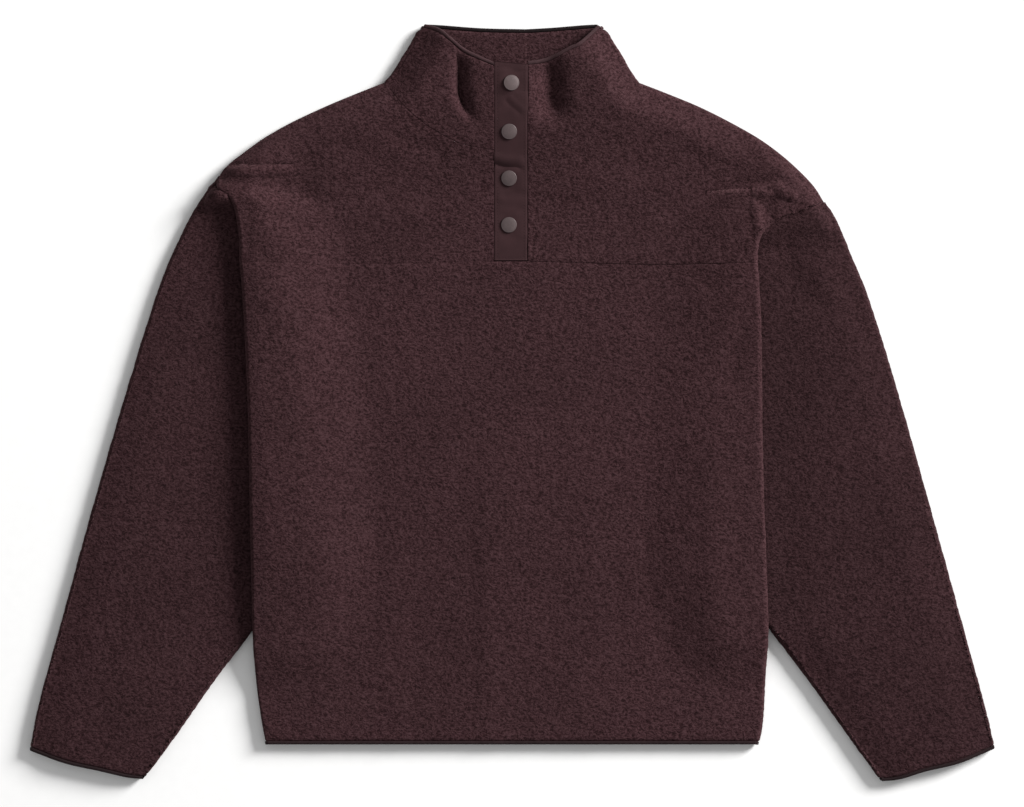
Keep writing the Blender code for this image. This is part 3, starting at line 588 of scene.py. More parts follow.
def new_group(name, inputs, output):
    """Node group with named inputs, each with its kind, and one number put out."""
    group = bpy.data.node_groups.new(name, "ShaderNodeTree")
    for socket, kind in inputs:
        group.interface.new_socket(socket, in_out="INPUT", socket_type="NodeSocket" + kind)
    group.interface.new_socket(output, in_out="OUTPUT", socket_type="NodeSocketFloat")
    return group, add(group, "NodeGroupInput"), add(group, "NodeGroupOutput")


def toned(tree, shader, colour, tone):
    """Base colour from a colour multiplied by a tone."""
    shade = add(tree, "ShaderNodeMix", data_type="RGBA", blend_type="MULTIPLY")
    shade.inputs["Factor"].default_value = 1
    join(tree, (colour, shade.inputs[6]), (tone, shade.inputs[7]),
         (shade.outputs[2], shader.inputs["Base Color"]))


def bumped(tree, shader, height, distance, strength=1.0):
    """Relief of a height, given as its depth in metres."""
    bump = add(tree, "ShaderNodeBump", Distance=distance, Strength=strength)
    join(tree, (height, bump.inputs["Height"]), (bump.outputs["Normal"], shader.inputs["Normal"]))


# Uneven tone: soft clouds between a darkest and a lightest tone, as on all dyed or painted goods
UNEVEN_TONE, entry, leave = new_group("uneven_tone", (
    ("Vector", "Vector"), ("Size per metre", "Float"), ("Darkest", "Float"), ("Lightest", "Float")),
    "Tone")
cloud = add(UNEVEN_TONE, "ShaderNodeTexNoise", Detail=3, Roughness=0.55)
spread = add(UNEVEN_TONE, "ShaderNodeMapRange", From_Min=0.3, From_Max=0.7)
join(UNEVEN_TONE, (entry.outputs["Vector"], cloud.inputs["Vector"]),
     (entry.outputs["Size per metre"], cloud.inputs["Scale"]),
     (cloud.outputs["Fac"], spread.inputs["Value"]),
     (entry.outputs["Darkest"], spread.inputs["To Min"]),
     (entry.outputs["Lightest"], spread.inputs["To Max"]),
     (spread.outputs["Result"], leave.inputs["Tone"]))

# Curl pattern: two sizes of small loops on a bent field, finer than the lumps of the mesh
CURL_PATTERN, entry, leave = new_group("curl_pattern", (
    ("Vector", "Vector"), ("Curls per metre", "Float")), "Height")
squeeze = add(CURL_PATTERN, "ShaderNodeVectorMath", operation="MULTIPLY")
squeeze.inputs[1].default_value = (0.72, 1, 1)
warp = add(CURL_PATTERN, "ShaderNodeTexNoise", Scale=140, Detail=1)
centred = add(CURL_PATTERN, "ShaderNodeVectorMath", operation="SUBTRACT")
centred.inputs[1].default_value = (0.5, 0.5, 0.5)
scaled = add(CURL_PATTERN, "ShaderNodeVectorMath", operation="SCALE", Scale=0.005)
moved = add(CURL_PATTERN, "ShaderNodeVectorMath", operation="ADD")
coarse = add(CURL_PATTERN, "ShaderNodeTexNoise", Detail=0)
fine = add(CURL_PATTERN, "ShaderNodeTexNoise", Detail=1)
twice = add(CURL_PATTERN, "ShaderNodeMath", operation="MULTIPLY")
twice.inputs[1].default_value = 2.0
both = add(CURL_PATTERN, "ShaderNodeMath", operation="ADD", use_clamp=True)
join(CURL_PATTERN, (entry.outputs["Vector"], squeeze.inputs[0]),
     (squeeze.outputs["Vector"], warp.inputs["Vector"]),
     (warp.outputs["Color"], centred.inputs[0]),
     (centred.outputs["Vector"], scaled.inputs["Vector"]),
     (squeeze.outputs["Vector"], moved.inputs[0]),
     (scaled.outputs["Vector"], moved.inputs[1]),
     (entry.outputs["Curls per metre"], coarse.inputs["Scale"]),
     (entry.outputs["Curls per metre"], twice.inputs[0]),
     (twice.outputs["Value"], fine.inputs["Scale"]),
     (both.outputs["Value"], leave.inputs["Height"]))
for slot, (loops, share, start) in enumerate(((coarse, 1.3, 0.55), (fine, 1.5, 0.0))):
    times = add(CURL_PATTERN, "ShaderNodeMath", operation="MULTIPLY_ADD")
    times.inputs[1].default_value = share
    times.inputs[2].default_value = start - share / 2
    join(CURL_PATTERN, (moved.outputs["Vector"], loops.inputs["Vector"]),
         (loops.outputs["Fac"], times.inputs[0]), (times.outputs["Value"], both.inputs[slot]))

# Curly fleece: darkened between the curls as painted shade, lighter at their tips, with a soft sheen
FLEECE, tree, shader = shader_material("curly_fleece")
where = add(tree, "ShaderNodeTexCoord")
pattern = grouped(tree, CURL_PATTERN, Curls_per_metre=480)
stored = add(tree, "ShaderNodeAttribute", attribute_name="curl")
mixed = add(tree, "ShaderNodeMath", operation="MULTIPLY_ADD")
mixed.inputs[1].default_value = 0.2
most = add(tree, "ShaderNodeMath", operation="MULTIPLY")
most.inputs[1].default_value = 0.8
broad = grouped(tree, UNEVEN_TONE, Size_per_metre=9, Darkest=0.9, Lightest=1.1)
# Painted shade: the curls' height darkens the colour in the pits between them, and their tips are
# lighter
colours = ramp(tree, (0.20, (0.0130, 0.0053, 0.0061)), (0.48, (0.0295, 0.0124, 0.0144)),
               (0.88, (0.0505, 0.0243, 0.0274)))
# Painted shade: each piece's nap shade darkens its whole tone
nap_shade = add(tree, "ShaderNodeAttribute", attribute_name="nap_shade")
tone = add(tree, "ShaderNodeMath", operation="MULTIPLY")
join(tree, (broad.outputs["Tone"], tone.inputs[0]), (nap_shade.outputs["Fac"], tone.inputs[1]),
     (where.outputs["Object"], pattern.inputs["Vector"]),
     (where.outputs["Object"], broad.inputs["Vector"]),
     (stored.outputs["Fac"], mixed.inputs[0]), (pattern.outputs["Height"], most.inputs[0]),
     (most.outputs["Value"], mixed.inputs[2]), (mixed.outputs["Value"], colours.inputs["Fac"]))
toned(tree, shader, colours.outputs["Color"], tone.outputs["Value"])
bumped(tree, shader, pattern.outputs["Height"], 0.00045, 0.8)
set_inputs(shader, Roughness=0.95, Specular_IOR_Level=0.06, Sheen_Weight=0.05,
           Sheen_Roughness=0.6, Sheen_Tint=(0.85, 0.45, 0.48, 1))

# The panel itself: its flat middle, and a fold with a turned-under strip at each side
seam_y = YOKE_SEAM_LEFT[0][1] - SEAM / 2
left = part_of(SIDE_BASE_LEFT, seam_y, HEM_LEVEL)
right = part_of(SIDE_BASE_RIGHT, seam_y, HEM_LEVEL)
left = along(left, stations(left, steps(BODY_LENGTH), "seam", "bound"))
right = along(right, stations(right, steps(BODY_LENGTH), "seam", "bound"))
seam = np.vstack((inset(through(YOKE_SEAM_LEFT), SEAM / 2),
                  inset(through(YOKE_SEAM_RIGHT), -SEAM / 2)[::-1]))
even = np.linspace(0, 1, steps(BODY_WIDTH))
top = along(seam, even)
bottom = along(np.array((left[-1], right[-1])), even)
top[0], top[-1] = left[0], right[0]
places, near, far = panel(top, bottom, left, right, ("seam", "bound", "plain", "plain"))
grid, normal = surface(places, front_height)
inner, outer = walls(grid, normal, near, far)
a = pleat_side(grid[:, 0], near[:, 0], far[:, 0], SIDE_BASE_LEFT, -1, RIM_LEFT)
b = pleat_side(grid[:, -1], near[:, -1], far[:, -1], SIDE_BASE_RIGHT, 1, RIM_RIGHT)
body_inner = np.concatenate((a[0][:, ::-1], inner[:, 1:-1], b[0]), axis=1)
body_outer = np.concatenate((a[1][:, ::-1], outer[:, 1:-1], b[1]), axis=1)
front = one_face("front_body_fleece", body_inner, body_outer, FLEECE)
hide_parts("front_body")

# Yokes: a left and a right panel of the same fleece, from the shoulder folds to the placket. They
# are sewn to the front, the collar and the back, and turn under over the sleeves as the front does.
YOKE_DEPTH, SHOULDER_RUN, NECK_FRONT_RUN = 110, 200, 120
NECK_FRONT_LEFT = ((-128, 320), (-122.8, 315.4), (-108, 297), (-84, 277), (-52, 260), (-17.9, 253))
NECK_FRONT_RIGHT = ((127, 320), (121.5, 315.7), (108, 298), (82, 277), (50, 260), (15.8, 253))


def both_faces(name, inner, outer, material, depth=PILE):
    """Both faces of a wall with their pile, joined round the border."""
    rows, columns = inner.shape[:2]
    half = rows * columns
    grid, height = piled(inner, outer, depth)
    under, under_height = piled(outer, inner, 0.5 * depth)
    points = np.vstack((grid.reshape(-1, 3), under.reshape(-1, 3)))
    number = np.arange(half).reshape(rows, columns)
    border = np.concatenate((number[0, :-1], number[:-1, -1], number[-1, :0:-1], number[:0:-1, 0]))
    after = np.roll(border, -1)
    rim = np.stack((border, after, after + half, border + half), axis=-1)
    upper = quads(grid, outer - inner)
    lower = quads(under, inner - outer, start=half)
    if upper[0, 1] != 1:
        rim = rim[:, ::-1]
    faces = np.vstack((upper, lower, rim))
    return make_mesh(name, points, faces, material,
                     np.concatenate((height.ravel(), under_height.ravel())))


def neck_points(table, count, shift, end="seam"):
    """Points of a neck seam from a fold's depth past the neck point to its middle end."""
    line = inset(through(table), shift)
    length = np.linalg.norm(np.diff(line, axis=0), axis=1).sum()
    at = stations(line, count, "plain", end)
    return along(line, FOLD / length + (1 - FOLD / length) * at)


def mixed_top(far, places, neck_x):
    """The rim's rounding on the shoulder and a close seam's along the neck."""
    for k, row in enumerate(EDGES["close"]):
        on_neck = np.abs(places[k, :, 0]) < neck_x
        far[k] = np.where(on_neck, row[2], far[k])


def make_yoke(name, side, shoulder, neck, seam, fold_base, rim):
    """One yoke: its panel between the shoulder, neck and yoke seam, and its turned-under side."""
    neck_row = neck_points(neck, steps(NECK_FRONT_RUN), -side * SEAM / 2, "close")
    crest = along(through(shoulder), np.linspace(0, 1, steps(SHOULDER_RUN)))
    tip = fold_base[0]
    top = np.vstack((tip, crest[1:], neck_row))
    seam_line = inset(through(seam), side * SEAM / 2)
    outer_side = part_of(fold_base, tip[1], YOKE_SEAM_LEFT[0][1] + SEAM / 2)
    left = along(outer_side, stations(outer_side, steps(YOKE_DEPTH), "rim", "seam"))
    bottom = along(seam_line, stations(seam_line, len(top) - 6, "plain", "close"))
    bottom[0] = left[-1]
    centre = np.array((top[-1], bottom[-1]))
    right = along(centre, stations(centre, steps(YOKE_DEPTH), "rim", "seam"))
    places, near, far = panel(top, bottom, left, right, ("rim", "seam", "plain", "close"))
    mixed_top(far, places, abs(shoulder[-1][0]))
    grid, normal = surface(places, front_height)
    inner, outer = walls(grid, normal, near, far)
    a = pleat_side(grid[:, 0], near[:, 0], far[:, 0], fold_base, side, rim)
    inner = np.concatenate((a[0][:, ::-1], inner[:, 1:]), axis=1)
    outer = np.concatenate((a[1][:, ::-1], outer[:, 1:]), axis=1)
    yoke = both_faces(name + "_fleece", inner, outer, FLEECE)
    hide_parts(name)
    return yoke


yoke_left = make_yoke("front_yoke_left", -1, SHOULDER_LEFT, NECK_FRONT_LEFT, YOKE_SEAM_LEFT,
                      SIDE_BASE_LEFT, RIM_LEFT)
yoke_right = make_yoke("front_yoke_right", 1, SHOULDER_RIGHT, NECK_FRONT_RIGHT, YOKE_SEAM_RIGHT,
                       SIDE_BASE_RIGHT, RIM_RIGHT)

# Back: one plain panel of the same fleece, flat on the surface under all the rest. It is sewn to
# the yokes, the sleeves and the collar and bound at the hem. As it is hidden, its grid is coarser
# and its pile lower.
BACK_CELL = 2.6 * CELL
BACK_LENGTH, NECK_BACK_RUN = 600, 130
BACK_PILE = 0.25
NECK_BACK_LEFT = ((-128, 320), (-122.8, 315.4), (-90, 302), (-40, 293), (14, 290))
NECK_BACK_RIGHT = ((127, 320), (121.5, 315.7), (92, 303), (50, 293), (14, 290))
crest_left = along(through(SHOULDER_LEFT), np.linspace(0, 1, steps(SHOULDER_RUN, BACK_CELL)))
crest_right = along(through(SHOULDER_RIGHT), np.linspace(0, 1, steps(SHOULDER_RUN, BACK_CELL)))
neck_left = neck_points(NECK_BACK_LEFT, steps(NECK_BACK_RUN, BACK_CELL), SEAM / 2, "plain")
neck_right = neck_points(NECK_BACK_RIGHT, steps(NECK_BACK_RUN, BACK_CELL), -SEAM / 2, "plain")
top = np.vstack((crest_left, neck_left, neck_right[-2::-1], crest_right[::-1]))
sides = []
for line in (BACK_SIDE_LEFT, BACK_SIDE_RIGHT):
    length = np.linalg.norm(np.diff(line, axis=0), axis=1).sum()
    count = steps(BACK_LENGTH, BACK_CELL)
    down = (np.arange(count) + 0.5) / count
    first = [row[0] / length for row in EDGES["rim"]]
    last = [1 - row[0] / length for row in EDGES["bound"]][::-1]
    middle = first[-1] + (last[0] - first[-1]) * down
    sides.append(along(line, np.concatenate((first, middle, last))))
left, right = sides
bottom = along(np.array((left[-1], right[-1])), travelled(top))
places, near, far = panel(top, bottom, left, right, ("rim", "bound", "plain", "plain"))
mixed_top(far, places, abs(SHOULDER_RIGHT[-1][0]) - 0.5)
grid = np.dstack((places, np.full(places.shape[:2], WALL)))
back_inner, back_outer = walls(grid, np.array((0, 0, -1.0)), near, far)
back = both_faces("back_body_fleece", back_inner, back_outer, FLEECE, depth=BACK_PILE)
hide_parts("back_body")

# Collar: two halves of the same fleece that rise from the neck seam, folded at the sides and sewn
# together at the centre back. The placket closes its front, and its upper edge is bound.
COLLAR_RUN, COLLAR_DEPTH = 110, 82
COLLAR_TIP, COLLAR_TIP_RUN = 0.35, 9        # share of the side fold's reach at its top, and its run
COLLAR_LIFT = 1.5                           # by which its corner overlaps the shoulder's
CENTRE_BACK = 14.0
COLLAR_EDGE_LEFT = ((-88, 378), (-72, 373), (-60, 363), (-49, 354), (-36, 347), (-17.9, 339))
COLLAR_EDGE_RIGHT = ((87, 378), (68, 360), (58, 355), (44, 348), (30, 343), (15.8, 340))
COLLAR_REAR_LEFT = ((-88, 377.5), (-70, 376.5), (-30, 373.5), (14, 372.5))
COLLAR_REAR_RIGHT = ((87, 377.5), (70, 376.5), (40, 374), (14, 372.5))


def make_collar(name, side, rim_side, edge, neck, rear_edge, rear_neck, front_x, rear_x):
    """One half of the collar: its front, the fold at its side and its rear."""
    across, high = steps(COLLAR_RUN), steps(COLLAR_DEPTH)
    bottom = neck_points(neck, across, side * SEAM / 2, "close")
    bottom[:, 0] += (front_x - bottom[-1, 0]) * travelled(bottom)
    bottom[:, 1] -= COLLAR_LIFT * (1 - ease(10 * travelled(bottom)))
    side_line = inset(through(rim_side), side * FOLD)
    side_line[-1] = bottom[0]
    left = along(side_line, stations(side_line, high, "bound", "close"))
    edge_line = through(edge)
    edge_line[0] = left[0]
    top = along(edge_line, stations(edge_line, across, "plain", "close"))
    centre = np.array((top[-1], bottom[-1]))
    right = along(centre, stations(centre, high, "bound", "close"))
    edges = ("bound", "close", "plain", "close")
    places, near, far = panel(top, bottom, left, right, edges)
    grid, normal = surface(places, front_height)
    inner, outer = walls(grid, normal, near, far)
    rear_bottom = neck_points(rear_neck, across, side * SEAM / 2)
    rear_bottom[:, 0] += (rear_x - rear_bottom[-1, 0]) * travelled(rear_bottom)
    rear_bottom[0] = left[-1]
    rear_line = through(rear_edge)
    rear_line[0] = left[0]
    rear_top = along(rear_line, stations(rear_line, across, "plain", "seam"))
    rear_top[:, 0] += (rear_x - rear_top[-1, 0]) * travelled(rear_top)
    rear_centre = np.array((rear_top[-1], rear_bottom[-1]))
    rear_right = along(rear_centre, stations(rear_centre, high, "bound", "close"))
    edges = ("bound", "close", "plain", "seam")
    rear_places, rear_near, rear_far = panel(rear_top, rear_bottom, left, rear_right, edges)
    rear_grid = np.dstack((rear_places, np.full(rear_places.shape[:2], WALL)))
    rear_inner, rear_outer = walls(rear_grid, np.array((0, 0, -1.0)), rear_near, rear_far)
    half_turn = np.full(len(grid), math.pi)
    below = np.concatenate(([0], np.cumsum(np.linalg.norm(np.diff(left, axis=0), axis=1))))
    reach = COLLAR_TIP + (1 - COLLAR_TIP) * ease(below / COLLAR_TIP_RUN)
    out = outward(side_line, grid[:, 0, 1], side) * reach[:, None]
    fold = bend(grid[:, 0], out, near[:, 0], far[:, 0], grid[:, 0, 2] - WALL, half_turn, FOLD_STEPS)
    inner = np.concatenate((inner[:, :0:-1], fold[0], rear_inner[:, 1:]), axis=1)
    outer = np.concatenate((outer[:, :0:-1], fold[1], rear_outer[:, 1:]), axis=1)
    collar = both_faces(name + "_fleece", inner, outer, FLEECE)
    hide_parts(name)
    return collar, inner, outer


collar_left = make_collar("collar_left", -1, COLLAR_SIDE_LEFT, COLLAR_EDGE_LEFT, NECK_FRONT_LEFT,
                          COLLAR_REAR_LEFT, NECK_BACK_LEFT, -17.9, CENTRE_BACK - SEAM / 2)
collar_right = make_collar("collar_right", 1, COLLAR_SIDE_RIGHT, COLLAR_EDGE_RIGHT,
                           NECK_FRONT_RIGHT, COLLAR_REAR_RIGHT, NECK_BACK_RIGHT, 15.8,
                           CENTRE_BACK + SEAM / 2)

# Sleeves: tapering tubes of the same fleece, laid flat and bound at the cuffs. They are set into
# the dropped armholes, under the folds of the front, and their heads swell up to the yokes.
SLEEVE_LENGTH, SLEEVE_WIDTH = 560, 200
SLEEVE_CROWN = 3.0
SLEEVE_FOLD_STEPS = 9
HEAD_START, HEAD_START_RUN = -3, 1.5        # where the head starts to rise, under the fold
HEAD_RUN = 55                               # from the fold, until the head is flat
# For each side: distance from the fold and run of the crown, level and run of the head, and
# distance that the head keeps from the sleeve's own edges
SLEEVE_LAY = {-1: (25, 110, 190, 17, 7), 1: (8, 60, 150, 35, 12)}
SLEEVE_OUTER_LEFT = ((-294, 226), (-311, 203), (-323, 183), (-342, 143), (-357, 103),
                     (-382, 23), (-417, -97), (-450, -217), (-472, -297), (-482, -346))
SLEEVE_OUTER_RIGHT = ((313.8, 199.5), (324, 183), (341, 143), (357, 103), (382, 23), (416, -97),
                      (449, -217), (471, -297), (482.5, -344))
CUFF_LEFT = ((-482, -346), (-446, -359), (-410, -367), (-385, -373), (-367, -375))
CUFF_RIGHT = ((482.5, -344), (446, -359), (413, -367), (387, -375), (368, -377))
SLEEVE_CREASES = (
    (-297, 215, -301.5, 188, 2.6, 2.6),
    (270, 150, 300, 90, 16, -1.2),
    (-300, 120, -330, 60, 18, 1.0),
)


def sleeve_height(x, y, side, pleat, edges):
    """Inner face of a sleeve's upper side.

    A soft crown clears the body's fold; the sleeve's head swells up to the yoke beside it."""
    crown_from, crown_run, head_from, head_run, head_rim = SLEEVE_LAY[side]
    beyond = side * (x - at_height(pleat, y))
    gap = away(x, y, pleat) * np.sign(beyond)
    clear = ease((gap - crown_from) / crown_run)
    own = np.minimum(away(x, y, edges[0]), away(x, y, edges[1]))
    rim = RIM_LEFT if side < 0 else RIM_RIGHT
    head = ease((gap - HEAD_START) / HEAD_START_RUN) * (1 - ease(gap / HEAD_RUN))
    head = head * ease((y - head_from) / head_run) * ease((own - FOLD) / head_rim)
    head = head * (PLEAT * ease(away(x, y, rim) / RIM_RUN) + loft(x, y, rim, side) - SLIT)
    fine = creases(x, y, SLEEVE_CREASES) * (beyond > 0)
    return np.maximum(FRONT, FRONT + SLEEVE_CROWN * clear * ease(own / SWELL_RIM) + head + fine)


def make_sleeve(name, side, outer_line, inner_line, armhole, cuff, pleat, nap_shade):
    """One sleeve: its upper side, a fold along each edge and a strip of its rear wall."""
    down, across = steps(SLEEVE_LENGTH), steps(SLEEVE_WIDTH)
    far_side = inset(through(outer_line), side * FOLD)
    near_side = inset(through(inner_line), -side * FOLD)
    left = along(far_side, stations(far_side, down, "plain", "bound"))
    right = along(near_side, stations(near_side, down, "plain", "bound"))
    seam = inset(np.array(armhole), -side * 3 * SEAM)
    seam = seam[(seam[:, 1] < left[0][1] - 2) & (seam[:, 1] > right[0][1] + 20)]
    even = np.linspace(0, 1, across)
    top = along(np.vstack((left[:1], seam, right[:1])), even)
    bottom = along(through(cuff), even)
    bottom[0], bottom[-1] = left[-1], right[-1]
    places, near, far = panel(top, bottom, left, right, ("plain", "bound", "plain", "plain"))
    edges = (through(outer_line, 4), through(inner_line, 4))
    grid, normal = surface(places, lambda x, y: sleeve_height(x, y, side, pleat, edges))
    inner, outer = walls(grid, normal, near, far)
    rear = np.dstack((places, np.full(places.shape[:2], WALL)))
    rear_inner, rear_outer = walls(rear, np.array((0, 0, -1.0)), near, far)
    half_turn = np.full(len(grid), math.pi)
    a = bend(grid[:, 0], outward(far_side, grid[:, 0, 1], side), near[:, 0], far[:, 0],
             grid[:, 0, 2] - WALL, half_turn, SLEEVE_FOLD_STEPS)
    b = bend(grid[:, -1], outward(near_side, grid[:, -1, 1], -side), near[:, -1], far[:, -1],
             grid[:, -1, 2] - WALL, half_turn, SLEEVE_FOLD_STEPS)
    hidden = slice(-4, 3, -3)
    inner = np.concatenate((a[0][:, ::-1], inner[:, 1:-1], b[0], rear_inner[:, hidden]), axis=1)
    outer = np.concatenate((a[1][:, ::-1], outer[:, 1:-1], b[1], rear_outer[:, hidden]), axis=1)
    # One more row at the head, which dips under the yoke and stays above the surface
    inner = np.concatenate((2 * inner[:1] - inner[1:2], inner))
    outer = np.concatenate((2 * outer[:1] - outer[1:2] - (0, 0, 1.2), outer))
    inner[0, :, 2] = np.maximum(inner[0, :, 2], 0.8)
    outer[0, :, 2] = np.maximum(outer[0, :, 2], 0.2)
    sleeve = one_face(name + "_fleece", inner, outer, FLEECE, ring=True, nap_shade=nap_shade)
    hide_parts(name)
    return sleeve, inner, outer


# The last number of each sleeve is its nap shade, a painted shade that darkens the whole sleeve
sleeve_left = make_sleeve("sleeve_left", -1, SLEEVE_OUTER_LEFT, SLEEVE_INNER_LEFT, ARMHOLE_LEFT,
                          CUFF_LEFT, PLEAT_LEFT, 0.86)
sleeve_right = make_sleeve("sleeve_right", 1, SLEEVE_OUTER_RIGHT, SLEEVE_INNER_RIGHT,
                           ARMHOLE_RIGHT, CUFF_RIGHT, PLEAT_RIGHT, 0.78)

# Placket: two bands of close woven cloth down the neck opening, sewn to the yokes and the fronts
# of the collar. The upper band laps over the under one and follows the cloth beneath it.
TAPE = 1.6                                  # thickness of a band
UPPER_BAND, UNDER_BAND = 2.5, 0.5           # the bands' lower faces above the front's inner face
BAND_LEFT, BAND_RIGHT = -17.8, 15.3
BAND_TOP, BAND_END = 341.0, 142.6
LEFT_ROW, RIGHT_ROW, END_ROW = 4.0, 3.0, 3.2    # stitching, in from the left, right and lower edge
BAND_SLANT = 3.0                            # by which the right end of a band's top is lower
BAND_EDGE = 1.4                             # width of a band's rounded edge
EDGE_LEFT, EDGE_RIGHT = 0.4, 0.7            # how far each face of a band falls at its edges
FURROW, FURROW_LEFT, FURROW_RIGHT = 0.1, 0.8, 0.7   # depth and half widths along the stitching
BAND_CREASES = (
    (-19, 247, 10, 241, 4.0, 0.9), (-19, 240, 9, 234, 3.2, -1.3),
    (-2, 306, 12, 292, 2.4, 0.35), (-7, 303, 8, 288, 2.6, -0.4),
    (-8, 332, -8, 310, 8.0, 0.8), (8, 332, 8, 310, 8.0, -0.8),
    (-8, 237, -8, 213, 7.0, -0.5), (8, 237, 8, 213, 7.0, 0.5),
    (-8, 190, -8, 166, 7.0, -0.4), (8, 190, 8, 166, 7.0, 0.4),
    (-14, 205, 12, 200, 4.0, 0.4),
)

# Close weave: crossed threads half a millimetre apart under a slight sheen
WOVEN, tree, shader = shader_material("close_weave")
where = add(tree, "ShaderNodeTexCoord")
warp_threads = add(tree, "ShaderNodeTexWave", bands_direction="X", Scale=620, Distortion=0.6)
weft_threads = add(tree, "ShaderNodeTexWave", bands_direction="Y", Scale=520, Distortion=0.6)
weave = add(tree, "ShaderNodeMath", operation="MAXIMUM")
broad = grouped(tree, UNEVEN_TONE, Size_per_metre=60, Darkest=0.9, Lightest=1.1)
colours = ramp(tree, (0.0, (0.020, 0.0086, 0.0098)), (1.0, (0.038, 0.0175, 0.0195)))
for threads, slot in ((warp_threads, 0), (weft_threads, 1)):
    join(tree, (where.outputs["Object"], threads.inputs["Vector"]),
         (threads.outputs["Fac"], weave.inputs[slot]))
join(tree, (where.outputs["Object"], broad.inputs["Vector"]),
     (weave.outputs["Value"], colours.inputs["Fac"]))
toned(tree, shader, colours.outputs["Color"], broad.outputs["Tone"])
bumped(tree, shader, weave.outputs["Value"], 0.0001, 0.6)
set_inputs(shader, Roughness=0.85, Specular_IOR_Level=0.1)


def band_height(x, y):
    """The bands follow the front, with their own soft creases."""
    return front_height(x, y) + creases(x, y, BAND_CREASES)


def make_band(name, left_x, right_x, level, detail):
    """One band, as a wall with rounded edges and a furrow along each row of its stitching."""
    down = np.linspace(0, 1, round(200 / detail))
    edge = np.array((0.0, 0.25, 0.7, BAND_EDGE)) / (right_x - left_x)
    across = np.concatenate((edge, np.linspace(edge[-1], 1 - edge[-1], round(30 / detail))[1:-1],
                             1 - edge[::-1]))
    corners = [np.array((x, y)) for y in (BAND_TOP, BAND_END) for x in (left_x, right_x)]
    corners[1][1] -= BAND_SLANT
    rows = [along(np.array((corners[a], corners[b])), down) for a, b in ((0, 2), (1, 3))]
    ends = [along(np.array((corners[a], corners[b])), across) for a, b in ((0, 1), (2, 3))]
    places, near, far = panel(ends[0], ends[1], rows[0], rows[1], ("plain",) * 4)
    grid, normal = surface(places, band_height)
    x = places[..., 0]
    to_edge = np.minimum(x - left_x, right_x - x)
    rounding = np.where(x < left_x + 3, EDGE_LEFT, EDGE_RIGHT) * (
        1 - np.sqrt(1 - np.clip(1 - to_edge / BAND_EDGE, 0, 1) ** 2))
    furrow = FURROW * (np.exp(-((x - left_x - LEFT_ROW) / FURROW_LEFT) ** 2)
                       + np.exp(-((right_x - x - RIGHT_ROW) / FURROW_RIGHT) ** 2))
    inner, outer = walls(grid, normal, level + rounding, level + TAPE - rounding - furrow)
    band = both_faces(name + "_cloth", inner, outer, WOVEN, depth=0.0)
    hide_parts(name)
    return band


under_band = make_band("placket_under_band", BAND_LEFT + 0.3, BAND_RIGHT, UNDER_BAND, 3 * CELL)
top_band = make_band("placket_top_band", BAND_LEFT, BAND_RIGHT, UPPER_BAND, 1.0)

# Stitching of the placket: sewing thread in short raised stitches, which dip into the cloth at
# their ends. A row runs down each side of the upper band and one across its lower end.
STITCH_PITCH, STITCH_LENGTH, STITCH_LIFT = 3.0, 2.2, -0.2
# Rings of a stitch: place along it, radius, and rise above the lift
STITCH_RINGS = ((0.0, 0.12, -0.3), (0.15, 0.26, 0.0), (0.5, 0.3, 0.12), (0.85, 0.26, 0.0),
                (1.0, 0.12, -0.3))
STITCH_SIDES = 6

# Thread: two plies twisted together, in the band's colour and a little smoother
THREAD, tree, shader = shader_material("sewing_thread")
where = add(tree, "ShaderNodeTexCoord")
plies = add(tree, "ShaderNodeTexWave", bands_direction="DIAGONAL", Scale=900)
colours = ramp(tree, (0.0, (0.017, 0.0076, 0.0086)), (1.0, (0.036, 0.0165, 0.0185)))
join(tree, (where.outputs["Object"], plies.inputs["Vector"]),
     (plies.outputs["Fac"], colours.inputs["Fac"]),
     (colours.outputs["Color"], shader.inputs["Base Color"]))
bumped(tree, shader, plies.outputs["Fac"], 0.0001)
set_inputs(shader, Roughness=0.8, Specular_IOR_Level=0.1)


def make_stitches(name, starts, ends):
    """Rounded stitches between pairs of points in mm."""
    angles = [k * 2 * math.pi / STITCH_SIDES for k in range(STITCH_SIDES)]
    ring = np.array([(math.cos(angle), math.sin(angle)) for angle in angles])
    points, faces = [], []
    for a, b in zip(starts, ends):
        run = b - a
        length = np.linalg.norm(run)
        run = run / length
        side = np.cross((0, 0, 1.0), run)
        side /= np.linalg.norm(side)
        up = np.cross(run, side)
        first = len(points)
        for t, radius, rise in STITCH_RINGS:
            middle = a + run * (t * length) + up * (STITCH_LIFT + rise)
            points.extend(middle + radius * (c * side + d * up) for c, d in ring)
        for k in range(len(STITCH_RINGS) - 1):
            corner = first + k * STITCH_SIDES
            for n in range(STITCH_SIDES):
                m = (n + 1) % STITCH_SIDES
                faces.append((corner + n, corner + m, corner + STITCH_SIDES + m,
                              corner + STITCH_SIDES + n))
    piece = make_mesh(name, np.array(points), np.array(faces), THREAD)
    return piece


def on_band(x, y):
    """Place on the upper band's face."""
    z = band_height(np.array([x]), np.array([y]))[0] + UPPER_BAND + TAPE
    return np.array((x, y, z))


starts, ends = [], []
for y in np.arange(BAND_END + 3, BAND_TOP - 4, STITCH_PITCH):
    for x in (BAND_LEFT + LEFT_ROW, BAND_RIGHT - RIGHT_ROW):
        starts.append(on_band(x, y))
        ends.append(on_band(x, y + STITCH_LENGTH))
for x in np.arange(BAND_LEFT + 5, BAND_RIGHT - 5, STITCH_PITCH):
    starts.append(on_band(x, BAND_END + END_ROW))
    ends.append(on_band(x + STITCH_LENGTH, BAND_END + END_ROW))
stitches = make_stitches("placket_stitching", starts, ends)

# Snaps: four domed caps of pressed metal with a rolled rim and matte grey paint. They are pressed
# into the upper band and stand square on the cloth under them.
SNAP_RADIUS = 7.8
SNAP_FOOT = SNAP_RADIUS - 0.8
SNAPS = ((-1.2, 319.3), (-2.8, 271.5), (-2.6, 225.0), (-2.8, 178.0))
